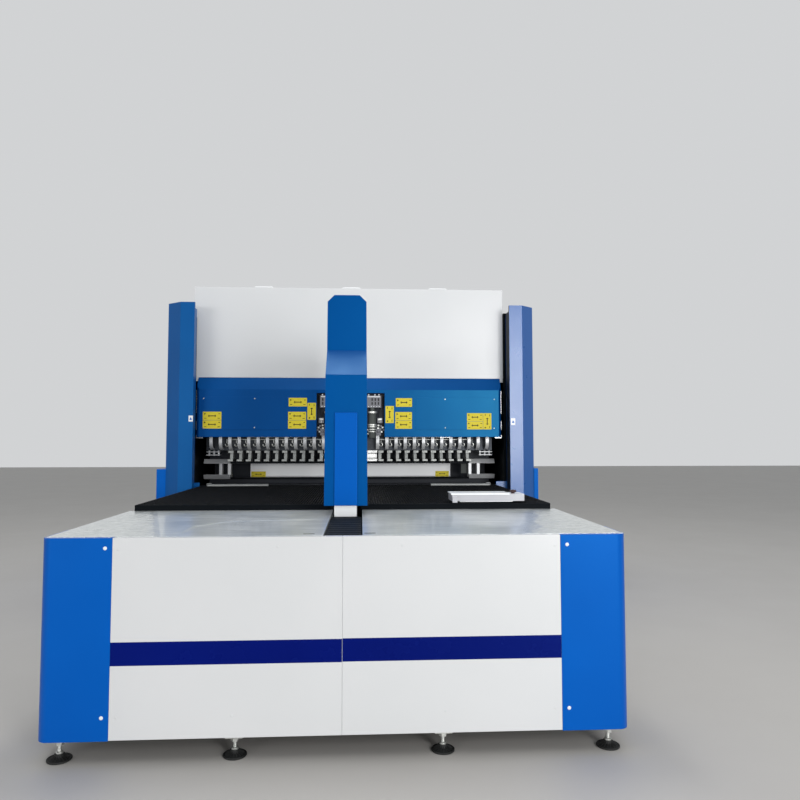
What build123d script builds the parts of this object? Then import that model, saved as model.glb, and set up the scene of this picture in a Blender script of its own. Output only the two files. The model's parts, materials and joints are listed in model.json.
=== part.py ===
from build123d import *
import os

os.makedirs("parts", exist_ok=True)

# The origin is on the floor under the middle of the machine, in millimetres.
# +Z is up and +Y runs from the loading table at the front to the rear doors.

# Overall sizes; frame_inner is half the clear width between the press's side frames, and sets every width
machine_length = 4800.0
press_front = 3000.0
frame_inner = 1365.0
table_top = 980.0
base_bottom = 102.0
front_y = -machine_length / 2

# Sheet metal and gaps
sheet = 3.0
plate_sheet = 4.0
return_depth = 30.0
joint_gap = 1.0
run_gap = 0.3
shaft_gap = 0.05

# Welded base of square tube
tube = 100.0
front_half = frame_inner - 56
frame_half = front_half - return_depth + joint_gap
frame_bottom = base_bottom - 2
rail_height = 80.0
inner_post_x = 260.0
inner_post_width = 80.0
table_rail_inner = 100.0
slot_beam_x = 200.0
slot_beam_height = 200.0
slot_beam_top = frame_bottom + tube + slot_beam_height
cross_rail_rows = (80.0, 1130.0, press_front - 400)

# Table and its slot
plate_length = 1170.0
under_plate = table_top - plate_sheet
corner_radius = 40.0
corner_cover_width = 300.0
slot_half = 90.0
slot_flange = 40.0
brush_half = frame_half + 8
brush_height = 40.6
brush_top = under_plate + brush_height
brush_rear = press_front + 28
brush_pitch = 48.0
brush_groove = 7.0
brush_groove_depth = 5.0
pleat_pitch = 29.0
pleat_height = 10.0
bellows_skin = 1.6
bellows_gap = 4.0
bellows_drop = 5.0

# Feet
pad_radius = 60.0
pad_height = 34.0
pad_rim = 9.0
round_sides = 16
stem_radius = 10.0
nut_width = 34.0
nut_height = 14.0
foot_plate = 78.0
foot_plate_height = 8.0
front_foot_x = (470.0, frame_half - 41)
front_foot_rows = (pad_radius, cross_rail_rows[-1])
rear_foot_rows = (press_front + 100, machine_length - 150)

# Press frame behind the table
frame_thickness = 65.0
frame_outer = frame_inner + frame_thickness
hood_top = 2775.0
motor_height = 220.0
motor_clearance = 55.0
frame_top = hood_top - motor_clearance - motor_height
frame_rear = machine_length - return_depth
hood_front = press_front + 20
hood_bottom = 1964.0
slope_depth = 500.0
slope_bottom = 1990.0
slope_top_y = frame_rear - slope_depth
crosshead_front = press_front + 100
crosshead_depth = 400.0
crosshead_height = 200.0

# Rear panels and their cooling slots
vent_count = 8
vent_pitch = 40.0
vent_length = 420.0
vent_width = 12.0
vent_bottom = 1500.0

# Bending line and lower clamping tool
bend_line = press_front + 190
tool_depth = 160.0
lower_tool_half = frame_inner - 255
lower_beam_bottom = 400.0
lower_beam_top = 760.0
lower_beam_depth = 600.0

# Bending blade holder
blade_front = bend_line + 10
blade_depth = 80.0
blade_height = 40.0
blade_half = frame_inner - 35
mouth_bottom = brush_top + 38.4
mouth_top = mouth_bottom + 181
mouth_depth = 300.0
mouth_rear = blade_front + mouth_depth
mouth_slope = 120.0
holder_lip = 90.0
holder_bottom = mouth_bottom - 175
holder_top = mouth_top + 164
holder_rear = mouth_rear + 250
holder_half = frame_inner - 75
blade_cover_half = holder_half - 342
blade_guide_x = 900.0
end_post_places = (blade_half - 228, blade_half - 150)
end_post_width = 28.0
bed_top = 550.0
bed_height = 100.0
bed_rear = frame_rear - 320
carriage_back_depth = 120.0
carriage_back_top = holder_top + 250
carriage_half = holder_half - 40
carriage_gap = 70.0
carriage_block_reach = 140.0
carriage_rail_drop = 130.0
holder_block_inset = 20.0
holder_block_height = 180.0

# Press beam and its cover
beam_half = frame_inner - 65
tool_rail_bottom = mouth_top + 79
tool_rail_height = 135.0
tool_rail_depth = 70.0
beam_bottom = tool_rail_bottom + tool_rail_height
beam_step = beam_bottom + 250
beam_top = hood_bottom - 14
beam_neck_depth = 150.0
beam_depth = 580.0
cover_front = hood_front - 70
cover_half = frame_inner - 21
cover_bottom = beam_bottom - 14
cover_shoulder = hood_bottom - 110
cover_end_chamfer = 20.0
notch_half = 300.0
notch_top = cover_shoulder - 30
end_bracket_width = 62.0
end_bracket_sheet = 8.0
end_bracket_spans = ((cover_bottom - 11, cover_bottom + 20), (1500.0, 1580.0), (1645.0, cover_shoulder))

# Tools under the press beam
tool_pitch = 80.0
tool_first_x = 258.0
hook_count = int((beam_half - tool_first_x) / tool_pitch)
hook_width = 40.0
hook_band = 15.0
hook_reach = 86.0
segment_count = int((lower_tool_half - tool_first_x) / tool_pitch) + 1
segment_width = 45.0
segment_height = 100.0
centre_tool_count = 4
centre_tool_width = 100.0
centre_tool_gap = 5.0

# Drives of the tool changer in the notch, one on each side of the middle
drive_inner = 140.0
drive_outer = notch_half - 30
drive_depth = 62.0
drive_height = 107.0
drive_top = notch_top - 20
cylinder_x = 193.0
cylinder_radius = 36.0
cylinder_bottom = beam_bottom + 60
collar_radius = 42.0
collar_height = 26.0
valve_width = 45.0
valve_depth = 40.0
valve_height = 46.0
valve_bottom = beam_bottom + 110
tie_rod_radius = 10.0
tie_rod_heights = (beam_bottom + 14, beam_bottom + 48)

# Press drive
actuator_x = 850.0
actuator_radius = 90.0
rod_radius = 40.0
motor_width = 180.0

# Column and side covers
column_front = press_front - 200
column_offset = 30.0
column_inner = frame_inner - 5
column_crease = column_inner + 116
column_outer = column_crease + 115
column_chamfer = 100.0
column_step = frame_inner + 35
column_notch = 50.0
apron_top = brush_top + 28
column_rear = press_front + 160
column_top = frame_top + 95
side_box_outer = column_outer + column_offset + 39
side_box_top = 1160.0
side_box_front = press_front - 100

# Linear guides
guide_width = 40.0
guide_height = 30.0
guide_block = 70.0
guide_slot = guide_width / 2 + run_gap
guide_top = slot_beam_top + guide_height
slot_rail_setback = 100.0
slot_rail_tail = 600.0
slot_rail_span = (slot_rail_setback, press_front - slot_rail_tail)
bed_rail_setback = 50.0
bed_rail_tail = 170.0
bed_rail_span = (press_front + lower_beam_depth + bed_rail_setback, bed_rear - bed_rail_tail)
beam_guide_y = press_front + 400
beam_guide_span = (beam_bottom, hood_bottom + 26)

# Sheet manipulator
arm_half = 68.0
neck_front = 880.0
neck_depth = 370.0
carriage_front = 700.0
carriage_length = 900.0
carriage_width = 480.0
carriage_plate = 40.0
carriage_top = guide_top + 30 + carriage_plate
column_cover_front = neck_front - 33
column_cover_setback = 163.0
column_cover_rear = neck_front + neck_depth + 20
column_cover_bottom = brush_top + 25.4
column_cover_slope = 1793.0
column_cover_top = 2288.0
cover_bottom_half = 125.0
cover_top_half = 118.0
cover_corner = 41.0
cover_bolt_radius = 15.0
cover_bolt_heights = (column_cover_bottom + 118, 1600.0, column_cover_top - 188)
access_half = 66.0
access_top = 1573.0
access_height = 12.0
clamp_line = 2150.0
arm_end = clamp_line + 100
arm_bottom = 1920.0
arm_top = 2200.0
lower_arm_drop = 25.0
lower_arm_depth = 112.0
ram_radius = 45.0
ram_length = 960.0
clamp_gap = 90.4
upper_clamp_radius = 75.0
upper_clamp_height = 30.0
lower_clamp_radius = 80.0
spindle_radius = 20.0
spindle_length = 60.0

# Side gauge on the table
gauge_inner = 665.0
gauge_outer = gauge_inner + 462
gauge_front = plate_length + 20
gauge_depth = 170.0
gauge_height = 49.0
gauge_lid = 6.0
gauge_rail_height = 11.0
gauge_rail_width = 40.0
knob_radius = 20.0
knob_x = gauge_outer - 60
knob_height = 24.0

# Strips that guide the sheet at the rear of the table
strip_inner = 700.0
strip_outer = brush_half - 73
strip_front = column_front + 42
strip_depth = 16.0
strip_height = 16.0
strip_bracket = 32.0
strip_bracket_depth = 42.0
strip_bracket_height = 22.0

# Lifting loops
loop_width = 170.0
loop_height = 25.0
loop_bar = 12.0
loop_pitch = 790.0
loop_setback = 60.0

sides = ((-1, "left"), (1, "right"))


def at(distance):
    """The Y position at a distance behind the front of the machine."""
    return front_y + distance


def block(x_span, y_span, z_span, mode=Mode.ADD):
    """A squared block between three pairs of limits; y counts from the machine's front."""
    spans = [x_span, (at(y_span[0]), at(y_span[1])), z_span]
    low = [min(span) for span in spans]
    high = [max(span) for span in spans]
    centre = tuple((a + b) / 2 for a, b in zip(low, high))
    with Locations(centre):
        Box(*[b - a for a, b in zip(low, high)], mode=mode)


def bar_from_side(outline, x_low, x_high, mode=Mode.ADD):
    """A bar along X whose side outline lists (distance from the front, height) points."""
    with BuildSketch(Plane.YZ.offset(min(x_low, x_high))) as side_view:
        with BuildLine():
            Polyline([(at(y), z) for y, z in outline], close=True)
        make_face()
    extrude(side_view.sketch, amount=abs(x_high - x_low), mode=mode)


def upright_from_plan(outline, z_low, z_high, mode=Mode.ADD):
    """An upright prism whose plan lists (x, distance from the front) points."""
    with BuildSketch(Plane.XY.offset(z_low)) as plan_view:
        with BuildLine():
            Polyline([(x, at(y)) for x, y in outline], close=True)
        make_face()
    extrude(plan_view.sketch, amount=z_high - z_low, mode=mode)


# Long rails of the base, along Y
with BuildPart() as base_long_rails:
    for side, word in sides:
        outer = (side * (frame_half - tube), side * frame_half)
        inner = (side * table_rail_inner, side * (table_rail_inner + rail_height))
        beam = (side * (slot_beam_x - tube / 2), side * (slot_beam_x + tube / 2))
        length = (return_depth, press_front)
        block(outer, length, (frame_bottom, frame_bottom + tube))
        block(outer, length, (under_plate - rail_height, under_plate))
        block(inner, length, (under_plate - rail_height, under_plate))
        block(beam, length, (frame_bottom + tube, slot_beam_top))
base_long_rails.part.label = "base_long_rails"
export_step(base_long_rails.part, "parts/base_long_rails.step")

# Cross rails of the base, along X, and the one that carries the blade guides
rail_spans = [(row - tube / 2, row + tube / 2) for row in cross_rail_rows]
with BuildPart() as base_cross_rails:
    for span in rail_spans:
        block((-(frame_half - tube), frame_half - tube), span, (frame_bottom, frame_bottom + tube))
        for side, word in sides:
            block((side * (table_rail_inner + rail_height), side * (frame_half - tube)), span,
                  (under_plate - rail_height, under_plate))
    block((-frame_inner, frame_inner), (bed_rear - tube, bed_rear),
          (bed_top - bed_height - tube, bed_top - bed_height))
base_cross_rails.part.label = "base_cross_rails"
export_step(base_cross_rails.part, "parts/base_cross_rails.step")

# Posts of the base
post_height = under_plate - rail_height - frame_bottom - tube
with BuildPart() as base_posts:
    for span in rail_spans:
        for side, word in sides:
            outer = (side * (frame_half - tube), side * frame_half)
            inner = (side * inner_post_x, side * (inner_post_x + inner_post_width))
            for place in (outer, inner):
                block(place, span, (frame_bottom + tube, frame_bottom + tube + post_height))
base_posts.part.label = "base_posts"
export_step(base_posts.part, "parts/base_posts.step")

# White front panels, folded pans that meet at the middle
for side, word in sides:
    with BuildPart() as front_panel:
        block((side * joint_gap, side * (front_half - corner_cover_width)), (0, return_depth),
              (base_bottom, table_top))
        back = front_panel.faces().sort_by(Axis.Y)[-1]
        offset(amount=-sheet, openings=back)
    front_panel.part.label = f"front_panel_{word}"
    export_step(front_panel.part, f"parts/front_panel_{word}.step")

# Blue corner covers with a rounded outer edge and returns onto the frame
for side, word in sides:
    near = front_half - corner_cover_width + joint_gap
    with BuildPart() as corner_cover:
        block((side * near, side * front_half), (0, corner_cover_width), (base_bottom, table_top))
        upright = corner_cover.edges().filter_by(Axis.Z)
        fillet(upright.sort_by_distance(Vector(side * front_half, at(0), table_top / 2))[0], corner_radius)
        block((side * near, side * frame_half), (return_depth, corner_cover_width), (base_bottom, table_top),
              mode=Mode.SUBTRACT)
        inner = corner_cover.faces().filter_by(Axis.X).sort_by_distance(
            Vector(side * frame_half, at(corner_cover_width), table_top / 2))[0]
        back = corner_cover.faces().filter_by(Axis.Y).sort_by_distance(
            Vector(side * near, at(return_depth), table_top / 2))[0]
        underside = corner_cover.faces().sort_by(Axis.Z)[0]
        offset(amount=-sheet, openings=[inner, back, underside])
    corner_cover.part.label = f"corner_cover_{word}"
    export_step(corner_cover.part, f"parts/corner_cover_{word}.step")

# Side panels of the base, one pair beside the plates and one beside the brushes
with BuildPart() as base_side_panels:
    for side, word in sides:
        for outer, start, end, top in (
                (front_half, corner_cover_width + joint_gap, plate_length, table_top),
                (brush_half, plate_length + joint_gap, column_front - 10, under_plate - 1)):
            with BuildPart(mode=Mode.PRIVATE) as pan:
                block((side * frame_half, side * outer), (start, end), (base_bottom, top))
                inner = pan.faces().sort_by(Axis.X)[-1 if side < 0 else 0]
                offset(amount=-sheet, openings=inner)
            add(pan.part)
base_side_panels.part.label = "base_side_panels"
export_step(base_side_panels.part, "parts/base_side_panels.step")

# Steel table plates with a folded lip along the slot
for side, word in sides:
    inner_x = side * slot_half
    outer_x = side * (frame_half - joint_gap)
    with BuildPart() as table_plate:
        block((inner_x, outer_x), (return_depth + joint_gap, plate_length), (under_plate, table_top))
        block((inner_x, inner_x + side * plate_sheet), (return_depth + joint_gap, plate_length),
              (table_top - slot_flange, under_plate))
    table_plate.part.label = f"table_plate_{word}"
    export_step(table_plate.part, f"parts/table_plate_{word}.step")

# Black brush tables, with rows of bristles across
brush_length = brush_rear - plate_length
for side, word in sides:
    with BuildPart() as brush_table:
        block((side * slot_half, side * brush_half), (plate_length, brush_rear), (under_plate, brush_top))
        rows = int(brush_length / brush_pitch) - 1
        middle = (side * (slot_half + brush_half) / 2, at(plate_length + brush_length / 2), brush_top)
        with Locations(middle):
            with GridLocations(0, brush_pitch, 1, rows):
                Box(brush_half, brush_groove, 2 * brush_groove_depth, mode=Mode.SUBTRACT)
    brush_table.part.label = f"brush_table_{word}"
    export_step(brush_table.part, f"parts/brush_table_{word}.step")


def bellows_outline(y_low, y_high, top):
    """A folded strip seen from the side: its upper zigzag and, below it, the same zigzag."""
    folds = 2 * round((y_high - y_low) / pleat_pitch)
    step = (y_high - y_low) / folds
    upper = [(y_low + i * step, top - (i % 2) * pleat_height) for i in range(folds + 1)]
    lower = [(y, z - bellows_skin) for y, z in reversed(upper)]
    return upper + lower


# Folded bellows that close the slot in front of and behind the manipulator
bellows_half = slot_half - bellows_gap
bellows_top = table_top - bellows_drop
rear_strip = (arm_end + run_gap, press_front - run_gap)
with BuildPart() as slot_bellows_front:
    bar_from_side(bellows_outline(return_depth + run_gap, neck_front - run_gap, bellows_top),
                  -bellows_half, bellows_half)
slot_bellows_front.part.label = "slot_bellows_front"
export_step(slot_bellows_front.part, "parts/slot_bellows_front.step")

with BuildPart() as slot_bellows_rear:
    bar_from_side(bellows_outline(*rear_strip, bellows_top), -bellows_half, bellows_half)
slot_bellows_rear.part.label = "slot_bellows_rear"
export_step(slot_bellows_rear.part, "parts/slot_bellows_rear.step")

# Linear guide rails: under the slot, on the blade bed and on the side frames
with BuildPart() as linear_rails:
    for side, word in sides:
        slot_side = (side * (slot_beam_x - guide_width / 2), side * (slot_beam_x + guide_width / 2))
        bed_side = (side * (blade_guide_x - guide_width / 2), side * (blade_guide_x + guide_width / 2))
        block(slot_side, slot_rail_span, (slot_beam_top, guide_top))
        block(bed_side, bed_rail_span, (bed_top, bed_top + guide_height))
        block((side * (frame_inner - guide_height), side * frame_inner),
              (beam_guide_y, beam_guide_y + guide_width), beam_guide_span)
linear_rails.part.label = "linear_rails"
export_step(linear_rails.part, "parts/linear_rails.step")

# Magnet track of the feed drive, between the slot beams
track_top = slot_beam_top - 58
track_half = 55
with BuildPart() as feed_magnet_track:
    block((tube / 2 - slot_beam_x, slot_beam_x - tube / 2), slot_rail_span, (track_top - 24, track_top - 12))
    block((-track_half, track_half), slot_rail_span, (track_top - 12, track_top))
feed_magnet_track.part.label = "feed_magnet_track"
export_step(feed_magnet_track.part, "parts/feed_magnet_track.step")

# Levelling feet: black pads and threaded stems with a nut and a top plate
foot_places = [(side * x, at(row)) for side, word in sides for x in front_foot_x for row in front_foot_rows]
frame_middle = (frame_inner + frame_outer) / 2
foot_places += [(side * frame_middle, at(row)) for side, word in sides for row in rear_foot_rows]
with BuildPart() as leveling_pads:
    with BuildPart(mode=Mode.PRIVATE) as pad:
        with BuildSketch():
            RegularPolygon(pad_radius, round_sides)
        extrude(amount=pad_rim)
        with BuildSketch(Plane.XY.offset(pad_rim)):
            RegularPolygon(pad_radius - 6, round_sides)
        extrude(amount=pad_height - pad_rim, taper=48)
    with Locations([(x, y, 0) for x, y in foot_places]):
        add(pad.part)
leveling_pads.part.label = "leveling_pads"
export_step(leveling_pads.part, "parts/leveling_pads.step")

with BuildPart() as leveling_stems:
    with BuildPart(mode=Mode.PRIVATE) as stem:
        with BuildSketch(Plane.XY.offset(pad_height)):
            RegularPolygon(stem_radius, 8)
        extrude(amount=frame_bottom - pad_height - foot_plate_height)
        with BuildSketch(Plane.XY.offset(frame_bottom - foot_plate_height - nut_height - 6)):
            RegularPolygon(nut_width / 2, 6, major_radius=False)
        extrude(amount=nut_height)
        with BuildSketch(Plane.XY.offset(frame_bottom - foot_plate_height)):
            Rectangle(foot_plate, foot_plate)
        extrude(amount=foot_plate_height)
    with Locations([(x, y, 0) for x, y in foot_places]):
        add(stem.part)
leveling_stems.part.label = "leveling_stems"
export_step(leveling_stems.part, "parts/leveling_stems.step")

# Bright strips that guide the sheet at the rear of the table, with end brackets
with BuildPart() as sheet_support_rails:
    for side, word in sides:
        block((side * strip_inner, side * strip_outer), (strip_front, strip_front + strip_depth),
              (brush_top, brush_top + strip_height))
        block((side * (strip_outer + 7), side * (strip_outer + 7 - strip_bracket)),
              (strip_front + strip_depth, strip_front + strip_depth + strip_bracket_depth),
              (brush_top, brush_top + strip_bracket_height))
sheet_support_rails.part.label = "sheet_support_rails"
export_step(sheet_support_rails.part, "parts/sheet_support_rails.step")

# Short rail that carries the side gauge
gauge_middle = gauge_front + gauge_depth / 2
with BuildPart() as gauge_rail:
    block((gauge_inner + 60, gauge_outer - 60),
          (gauge_middle - gauge_rail_width / 2, gauge_middle + gauge_rail_width / 2),
          (brush_top, brush_top + gauge_rail_height))
gauge_rail.part.label = "gauge_rail"
export_step(gauge_rail.part, "parts/gauge_rail.step")

# Side frames of the press, heavy plates with a sloped rear corner
for side, word in sides:
    with BuildPart() as side_frame:
        bar_from_side([(press_front, frame_bottom), (frame_rear, frame_bottom), (frame_rear, slope_bottom),
                       (slope_top_y, frame_top), (press_front, frame_top)],
                      side * frame_inner, side * frame_outer)
    side_frame.part.label = f"side_frame_{word}"
    export_step(side_frame.part, f"parts/side_frame_{word}.step")

# Lower beam with the neck that carries the fixed lower tool
with BuildPart() as lower_beam:
    bar_from_side([(press_front, lower_beam_bottom), (press_front + lower_beam_depth, lower_beam_bottom),
                   (press_front + lower_beam_depth, lower_beam_top),
                   (bend_line, lower_beam_top), (bend_line, under_plate), (press_front, under_plate)],
                  -frame_inner, frame_inner)
lower_beam.part.label = "lower_beam"
export_step(lower_beam.part, "parts/lower_beam.step")

# Lower clamping tool
with BuildPart() as lower_tool:
    bar_from_side([(bend_line - tool_depth, under_plate), (bend_line, under_plate), (bend_line, brush_top),
                   (bend_line - tool_depth, brush_top)], -lower_tool_half, lower_tool_half)
    front_edge = lower_tool.edges().filter_by(Axis.X).group_by(Axis.Z)[-1].sort_by(Axis.Y)[0]
    chamfer(front_edge, 6)
lower_tool.part.label = "lower_tool"
export_step(lower_tool.part, "parts/lower_tool.step")

# Upper crosshead between the side frames
crosshead_span = (crosshead_front, crosshead_front + crosshead_depth)
with BuildPart() as upper_crosshead:
    block((-frame_inner, frame_inner), crosshead_span, (frame_top - crosshead_height, frame_top))
upper_crosshead.part.label = "upper_crosshead"
export_step(upper_crosshead.part, "parts/upper_crosshead.step")

# Press actuators: a tube under the crosshead and a motor on it, at both ends
actuator_y = crosshead_front + crosshead_depth / 2
tube_bottom = beam_top + 70
with BuildPart() as press_actuators:
    for side, word in sides:
        with BuildSketch(Plane.XY.offset(tube_bottom)):
            with Locations((side * actuator_x, at(actuator_y))):
                RegularPolygon(actuator_radius, round_sides)
                Circle(rod_radius + shaft_gap, mode=Mode.SUBTRACT)
        extrude(amount=frame_top - crosshead_height - tube_bottom)
        block((side * actuator_x - motor_width / 2, side * actuator_x + motor_width / 2),
              (actuator_y - motor_width / 2, actuator_y + motor_width / 2),
              (frame_top, frame_top + motor_height))
press_actuators.part.label = "press_actuators"
export_step(press_actuators.part, "parts/press_actuators.step")

# Rods of the press actuators, standing on the press beam
with BuildPart() as press_rods:
    with BuildSketch(Plane.XY.offset(beam_top)):
        with Locations([(side * actuator_x, at(actuator_y)) for side, word in sides]):
            Circle(rod_radius)
    extrude(amount=frame_top - crosshead_height - 20 - beam_top)
press_rods.part.label = "press_rods"
export_step(press_rods.part, "parts/press_rods.step")

# Blue column covers, folded round the front of the side frames
step_y = cover_front - 10
for side, word in sides:
    inner = column_inner + side * column_offset
    crease = column_crease + side * column_offset
    outer = column_outer + side * column_offset
    outer_path = [(column_step, press_front), (column_step, step_y), (inner, step_y), (inner, column_front),
                  (crease, column_front), (outer, column_front + column_chamfer), (outer, column_rear)]
    inner_path = [(outer - sheet, column_rear), (outer - sheet, column_front + column_chamfer + sheet / 2),
                  (crease - sheet / 2, column_front + sheet), (inner + sheet, column_front + sheet),
                  (inner + sheet, step_y - sheet), (column_step + sheet, step_y - sheet),
                  (column_step + sheet, press_front - sheet), (frame_outer, press_front - sheet),
                  (frame_outer, press_front)]
    with BuildPart() as column_cover:
        upright_from_plan([(side * x, y) for x, y in outer_path + inner_path], base_bottom, column_top)
        block((side * (inner - 5), side * (inner + column_notch)),
              (column_front + column_notch / 2, press_front + 5),
              (column_top - column_notch, column_top + 5), mode=Mode.SUBTRACT)
        block((side * (brush_half + 2), side * (inner + sheet)), (step_y - sheet, step_y),
              (base_bottom, apron_top))
    column_cover.part.label = f"column_cover_{word}"
    export_step(column_cover.part, f"parts/column_cover_{word}.step")

# Lower side covers, boxes that stand out beside the columns
with BuildPart() as lower_side_covers:
    for side, word in sides:
        step_x = column_outer + side * column_offset + 2
        step_y = column_rear + 2
        plan = [(step_x, side_box_front), (side_box_outer, side_box_front),
                (side_box_outer, machine_length - 2), (frame_outer, machine_length - 2),
                (frame_outer, step_y), (step_x, step_y)]
        with BuildPart(mode=Mode.PRIVATE) as box:
            upright_from_plan([(side * x, y) for x, y in plan], base_bottom, side_box_top)
            inner = box.faces().filter_by(Axis.X).sort_by(Axis.X)[-1 if side < 0 else 0]
            floor = box.faces().sort_by(Axis.Z)[0]
            offset(amount=-sheet, openings=[inner, floor])
        add(box.part)
lower_side_covers.part.label = "lower_side_covers"
export_step(lower_side_covers.part, "parts/lower_side_covers.step")

# Upper side covers, pans on the side frames
with BuildPart() as upper_side_covers:
    for side, word in sides:
        with BuildPart(mode=Mode.PRIVATE) as pan:
            bar_from_side([(column_rear + 2, side_box_top + 2), (frame_rear, side_box_top + 2),
                           (frame_rear, slope_bottom), (slope_top_y, frame_top),
                           (column_rear + 2, frame_top)],
                          side * frame_outer, side * (column_outer + side * column_offset))
            inner = pan.faces().filter_by(Axis.X).sort_by(Axis.X)[-1 if side < 0 else 0]
            offset(amount=-sheet, openings=inner)
        add(pan.part)
upper_side_covers.part.label = "upper_side_covers"
export_step(upper_side_covers.part, "parts/upper_side_covers.step")

# White hood over the press, sloped at the rear, open below and notched round the crosshead
with BuildPart() as hood:
    bar_from_side([(hood_front, hood_bottom), (hood_front, hood_top), (slope_top_y, hood_top),
                   (frame_rear, slope_bottom), (frame_rear, hood_bottom)], -frame_inner, frame_inner)
    underside = hood.faces().sort_by(Axis.Z)[0]
    offset(amount=-sheet, openings=underside)
    block((-frame_outer, frame_outer), (crosshead_front - 2, crosshead_front + crosshead_depth + 2),
          (hood_bottom - 5, frame_top + 2), mode=Mode.SUBTRACT)
hood.part.label = "hood"
export_step(hood.part, "parts/hood.step")

# Lifting loops on the hood
with BuildPart() as lifting_loops:
    for place in (-loop_pitch, 0, loop_pitch):
        with BuildSketch(Plane.XZ.offset(-at(hood_front + loop_setback))):
            with Locations((place, hood_top + loop_height / 2)):
                outline = Rectangle(loop_width, loop_height)
                chamfer(outline.vertices().group_by(Axis.Y)[-1], loop_bar / 2)
                Rectangle(loop_width - 2 * loop_bar, loop_height - loop_bar, mode=Mode.SUBTRACT)
        extrude(amount=-loop_bar)
lifting_loops.part.label = "lifting_loops"
export_step(lifting_loops.part, "parts/lifting_loops.step")

# Rear panels with cooling slots
with BuildPart() as rear_panels:
    for side, word in sides:
        with BuildPart(mode=Mode.PRIVATE) as door:
            block((side * joint_gap, side * (frame_outer - 2)), (frame_rear, machine_length),
                  (base_bottom, hood_bottom - 2))
            front = door.faces().sort_by(Axis.Y)[0]
            offset(amount=-sheet, openings=front)
            with Locations((side * frame_outer / 2, at(machine_length), vent_bottom)):
                with Locations([(0, 0, i * vent_pitch) for i in range(vent_count)]):
                    Box(vent_length, 20, vent_width, mode=Mode.SUBTRACT)
        add(door.part)
rear_panels.part.label = "rear_panels"
export_step(rear_panels.part, "parts/rear_panels.step")

# Press beam with guide blocks at its ends
block_reach = frame_inner - 5
block_span = (beam_step + 20, beam_top - 20)
with BuildPart() as press_beam:
    bar_from_side([(hood_front, beam_bottom), (hood_front + beam_neck_depth, beam_bottom),
                   (hood_front + beam_neck_depth, beam_step), (hood_front + beam_depth, beam_step),
                   (hood_front + beam_depth, beam_top), (hood_front, beam_top)], -beam_half, beam_half)
    for side, word in sides:
        block((side * beam_half, side * block_reach), (beam_guide_y - 20, beam_guide_y + guide_width + 20),
              block_span)
        block((side * (frame_inner - guide_height - run_gap), side * (block_reach + 5)),
              (beam_guide_y - run_gap, beam_guide_y + guide_width + run_gap), block_span, mode=Mode.SUBTRACT)
press_beam.part.label = "press_beam"
export_step(press_beam.part, "parts/press_beam.step")

# Blue covers of the press beam, with a sloped top band, split round the middle notch
for side, word in sides:
    with BuildPart() as beam_cover:
        bar_from_side([(cover_front, cover_bottom), (cover_front, cover_shoulder),
                       (hood_front - 8, hood_bottom - 2), (hood_front, hood_bottom - 2),
                       (hood_front, cover_bottom)], 0, side * cover_half)
        upright = beam_cover.edges().filter_by(Axis.Z).group_by(Axis.Y)[0]
        chamfer(upright.sort_by(lambda edge: abs(edge.center().X))[-1], cover_end_chamfer)
        block((0, side * notch_half), (cover_front - 5, hood_front + 5), (cover_bottom - 5, notch_top),
              mode=Mode.SUBTRACT)
        openings = beam_cover.faces().sort_by(Axis.Y)[-1]
        offset(amount=-sheet, openings=openings)
    beam_cover.part.label = f"beam_cover_{word}"
    export_step(beam_cover.part, f"parts/beam_cover_{word}.step")

# Bright brackets at the ends of the press beam, seen beside its covers
with BuildPart() as beam_end_brackets:
    for side, word in sides:
        for span in end_bracket_spans:
            block((side * beam_half, side * (beam_half + end_bracket_width)),
                  (hood_front + 2, hood_front + 2 + end_bracket_sheet), span)
        block((side * beam_half, side * (beam_half + end_bracket_sheet)),
              (hood_front + 2, hood_front + 2 + end_bracket_sheet), (end_bracket_spans[0][0], cover_shoulder))
beam_end_brackets.part.label = "beam_end_brackets"
export_step(beam_end_brackets.part, "parts/beam_end_brackets.step")

# Drives of the tool changer in the notch: a motor over a collared cylinder, and a valve, on each side
drive_bottom = drive_top - drive_height
valve_inner = cylinder_x + collar_radius + 2
with BuildPart() as tool_drives:
    for side, word in sides:
        block((side * drive_inner, side * drive_outer), (hood_front - drive_depth, hood_front),
              (drive_bottom, drive_top))
    fillet(tool_drives.edges().filter_by(Axis.Y), 6)
    for side, word in sides:
        centre = (side * cylinder_x, at(hood_front - collar_radius))
        with BuildSketch(Plane.XY.offset(cylinder_bottom)):
            with Locations(centre):
                RegularPolygon(cylinder_radius, round_sides)
        extrude(amount=drive_bottom - cylinder_bottom)
        for low in (cylinder_bottom, cylinder_bottom + 2 * collar_height, drive_bottom - collar_height):
            with BuildSketch(Plane.XY.offset(low)):
                with Locations(centre):
                    RegularPolygon(collar_radius, round_sides)
            extrude(amount=collar_height)
        block((side * valve_inner, side * (valve_inner + valve_width)),
              (hood_front - valve_depth, hood_front), (valve_bottom, valve_bottom + valve_height))
    for height in tie_rod_heights:
        with BuildSketch(Plane.YZ.offset(-drive_outer)):
            with Locations((at(hood_front - tie_rod_radius), height)):
                RegularPolygon(tie_rod_radius, 8, rotation=22.5, major_radius=False)
        extrude(amount=2 * drive_outer)
tool_drives.part.label = "tool_drives"
export_step(tool_drives.part, "parts/tool_drives.step")

# Rail that the upper tools hang on
rail_front = bend_line - tool_rail_depth
with BuildPart() as tool_rail:
    block((-beam_half + 10, beam_half - 10), (rail_front, bend_line), (tool_rail_bottom, beam_bottom))
tool_rail.part.label = "tool_rail"
export_step(tool_rail.part, "parts/tool_rail.step")


def tool_places(count, side):
    """The X positions of a row of tools, counted outward from the middle."""
    return [side * (tool_first_x + i * tool_pitch) for i in range(count)]


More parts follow.
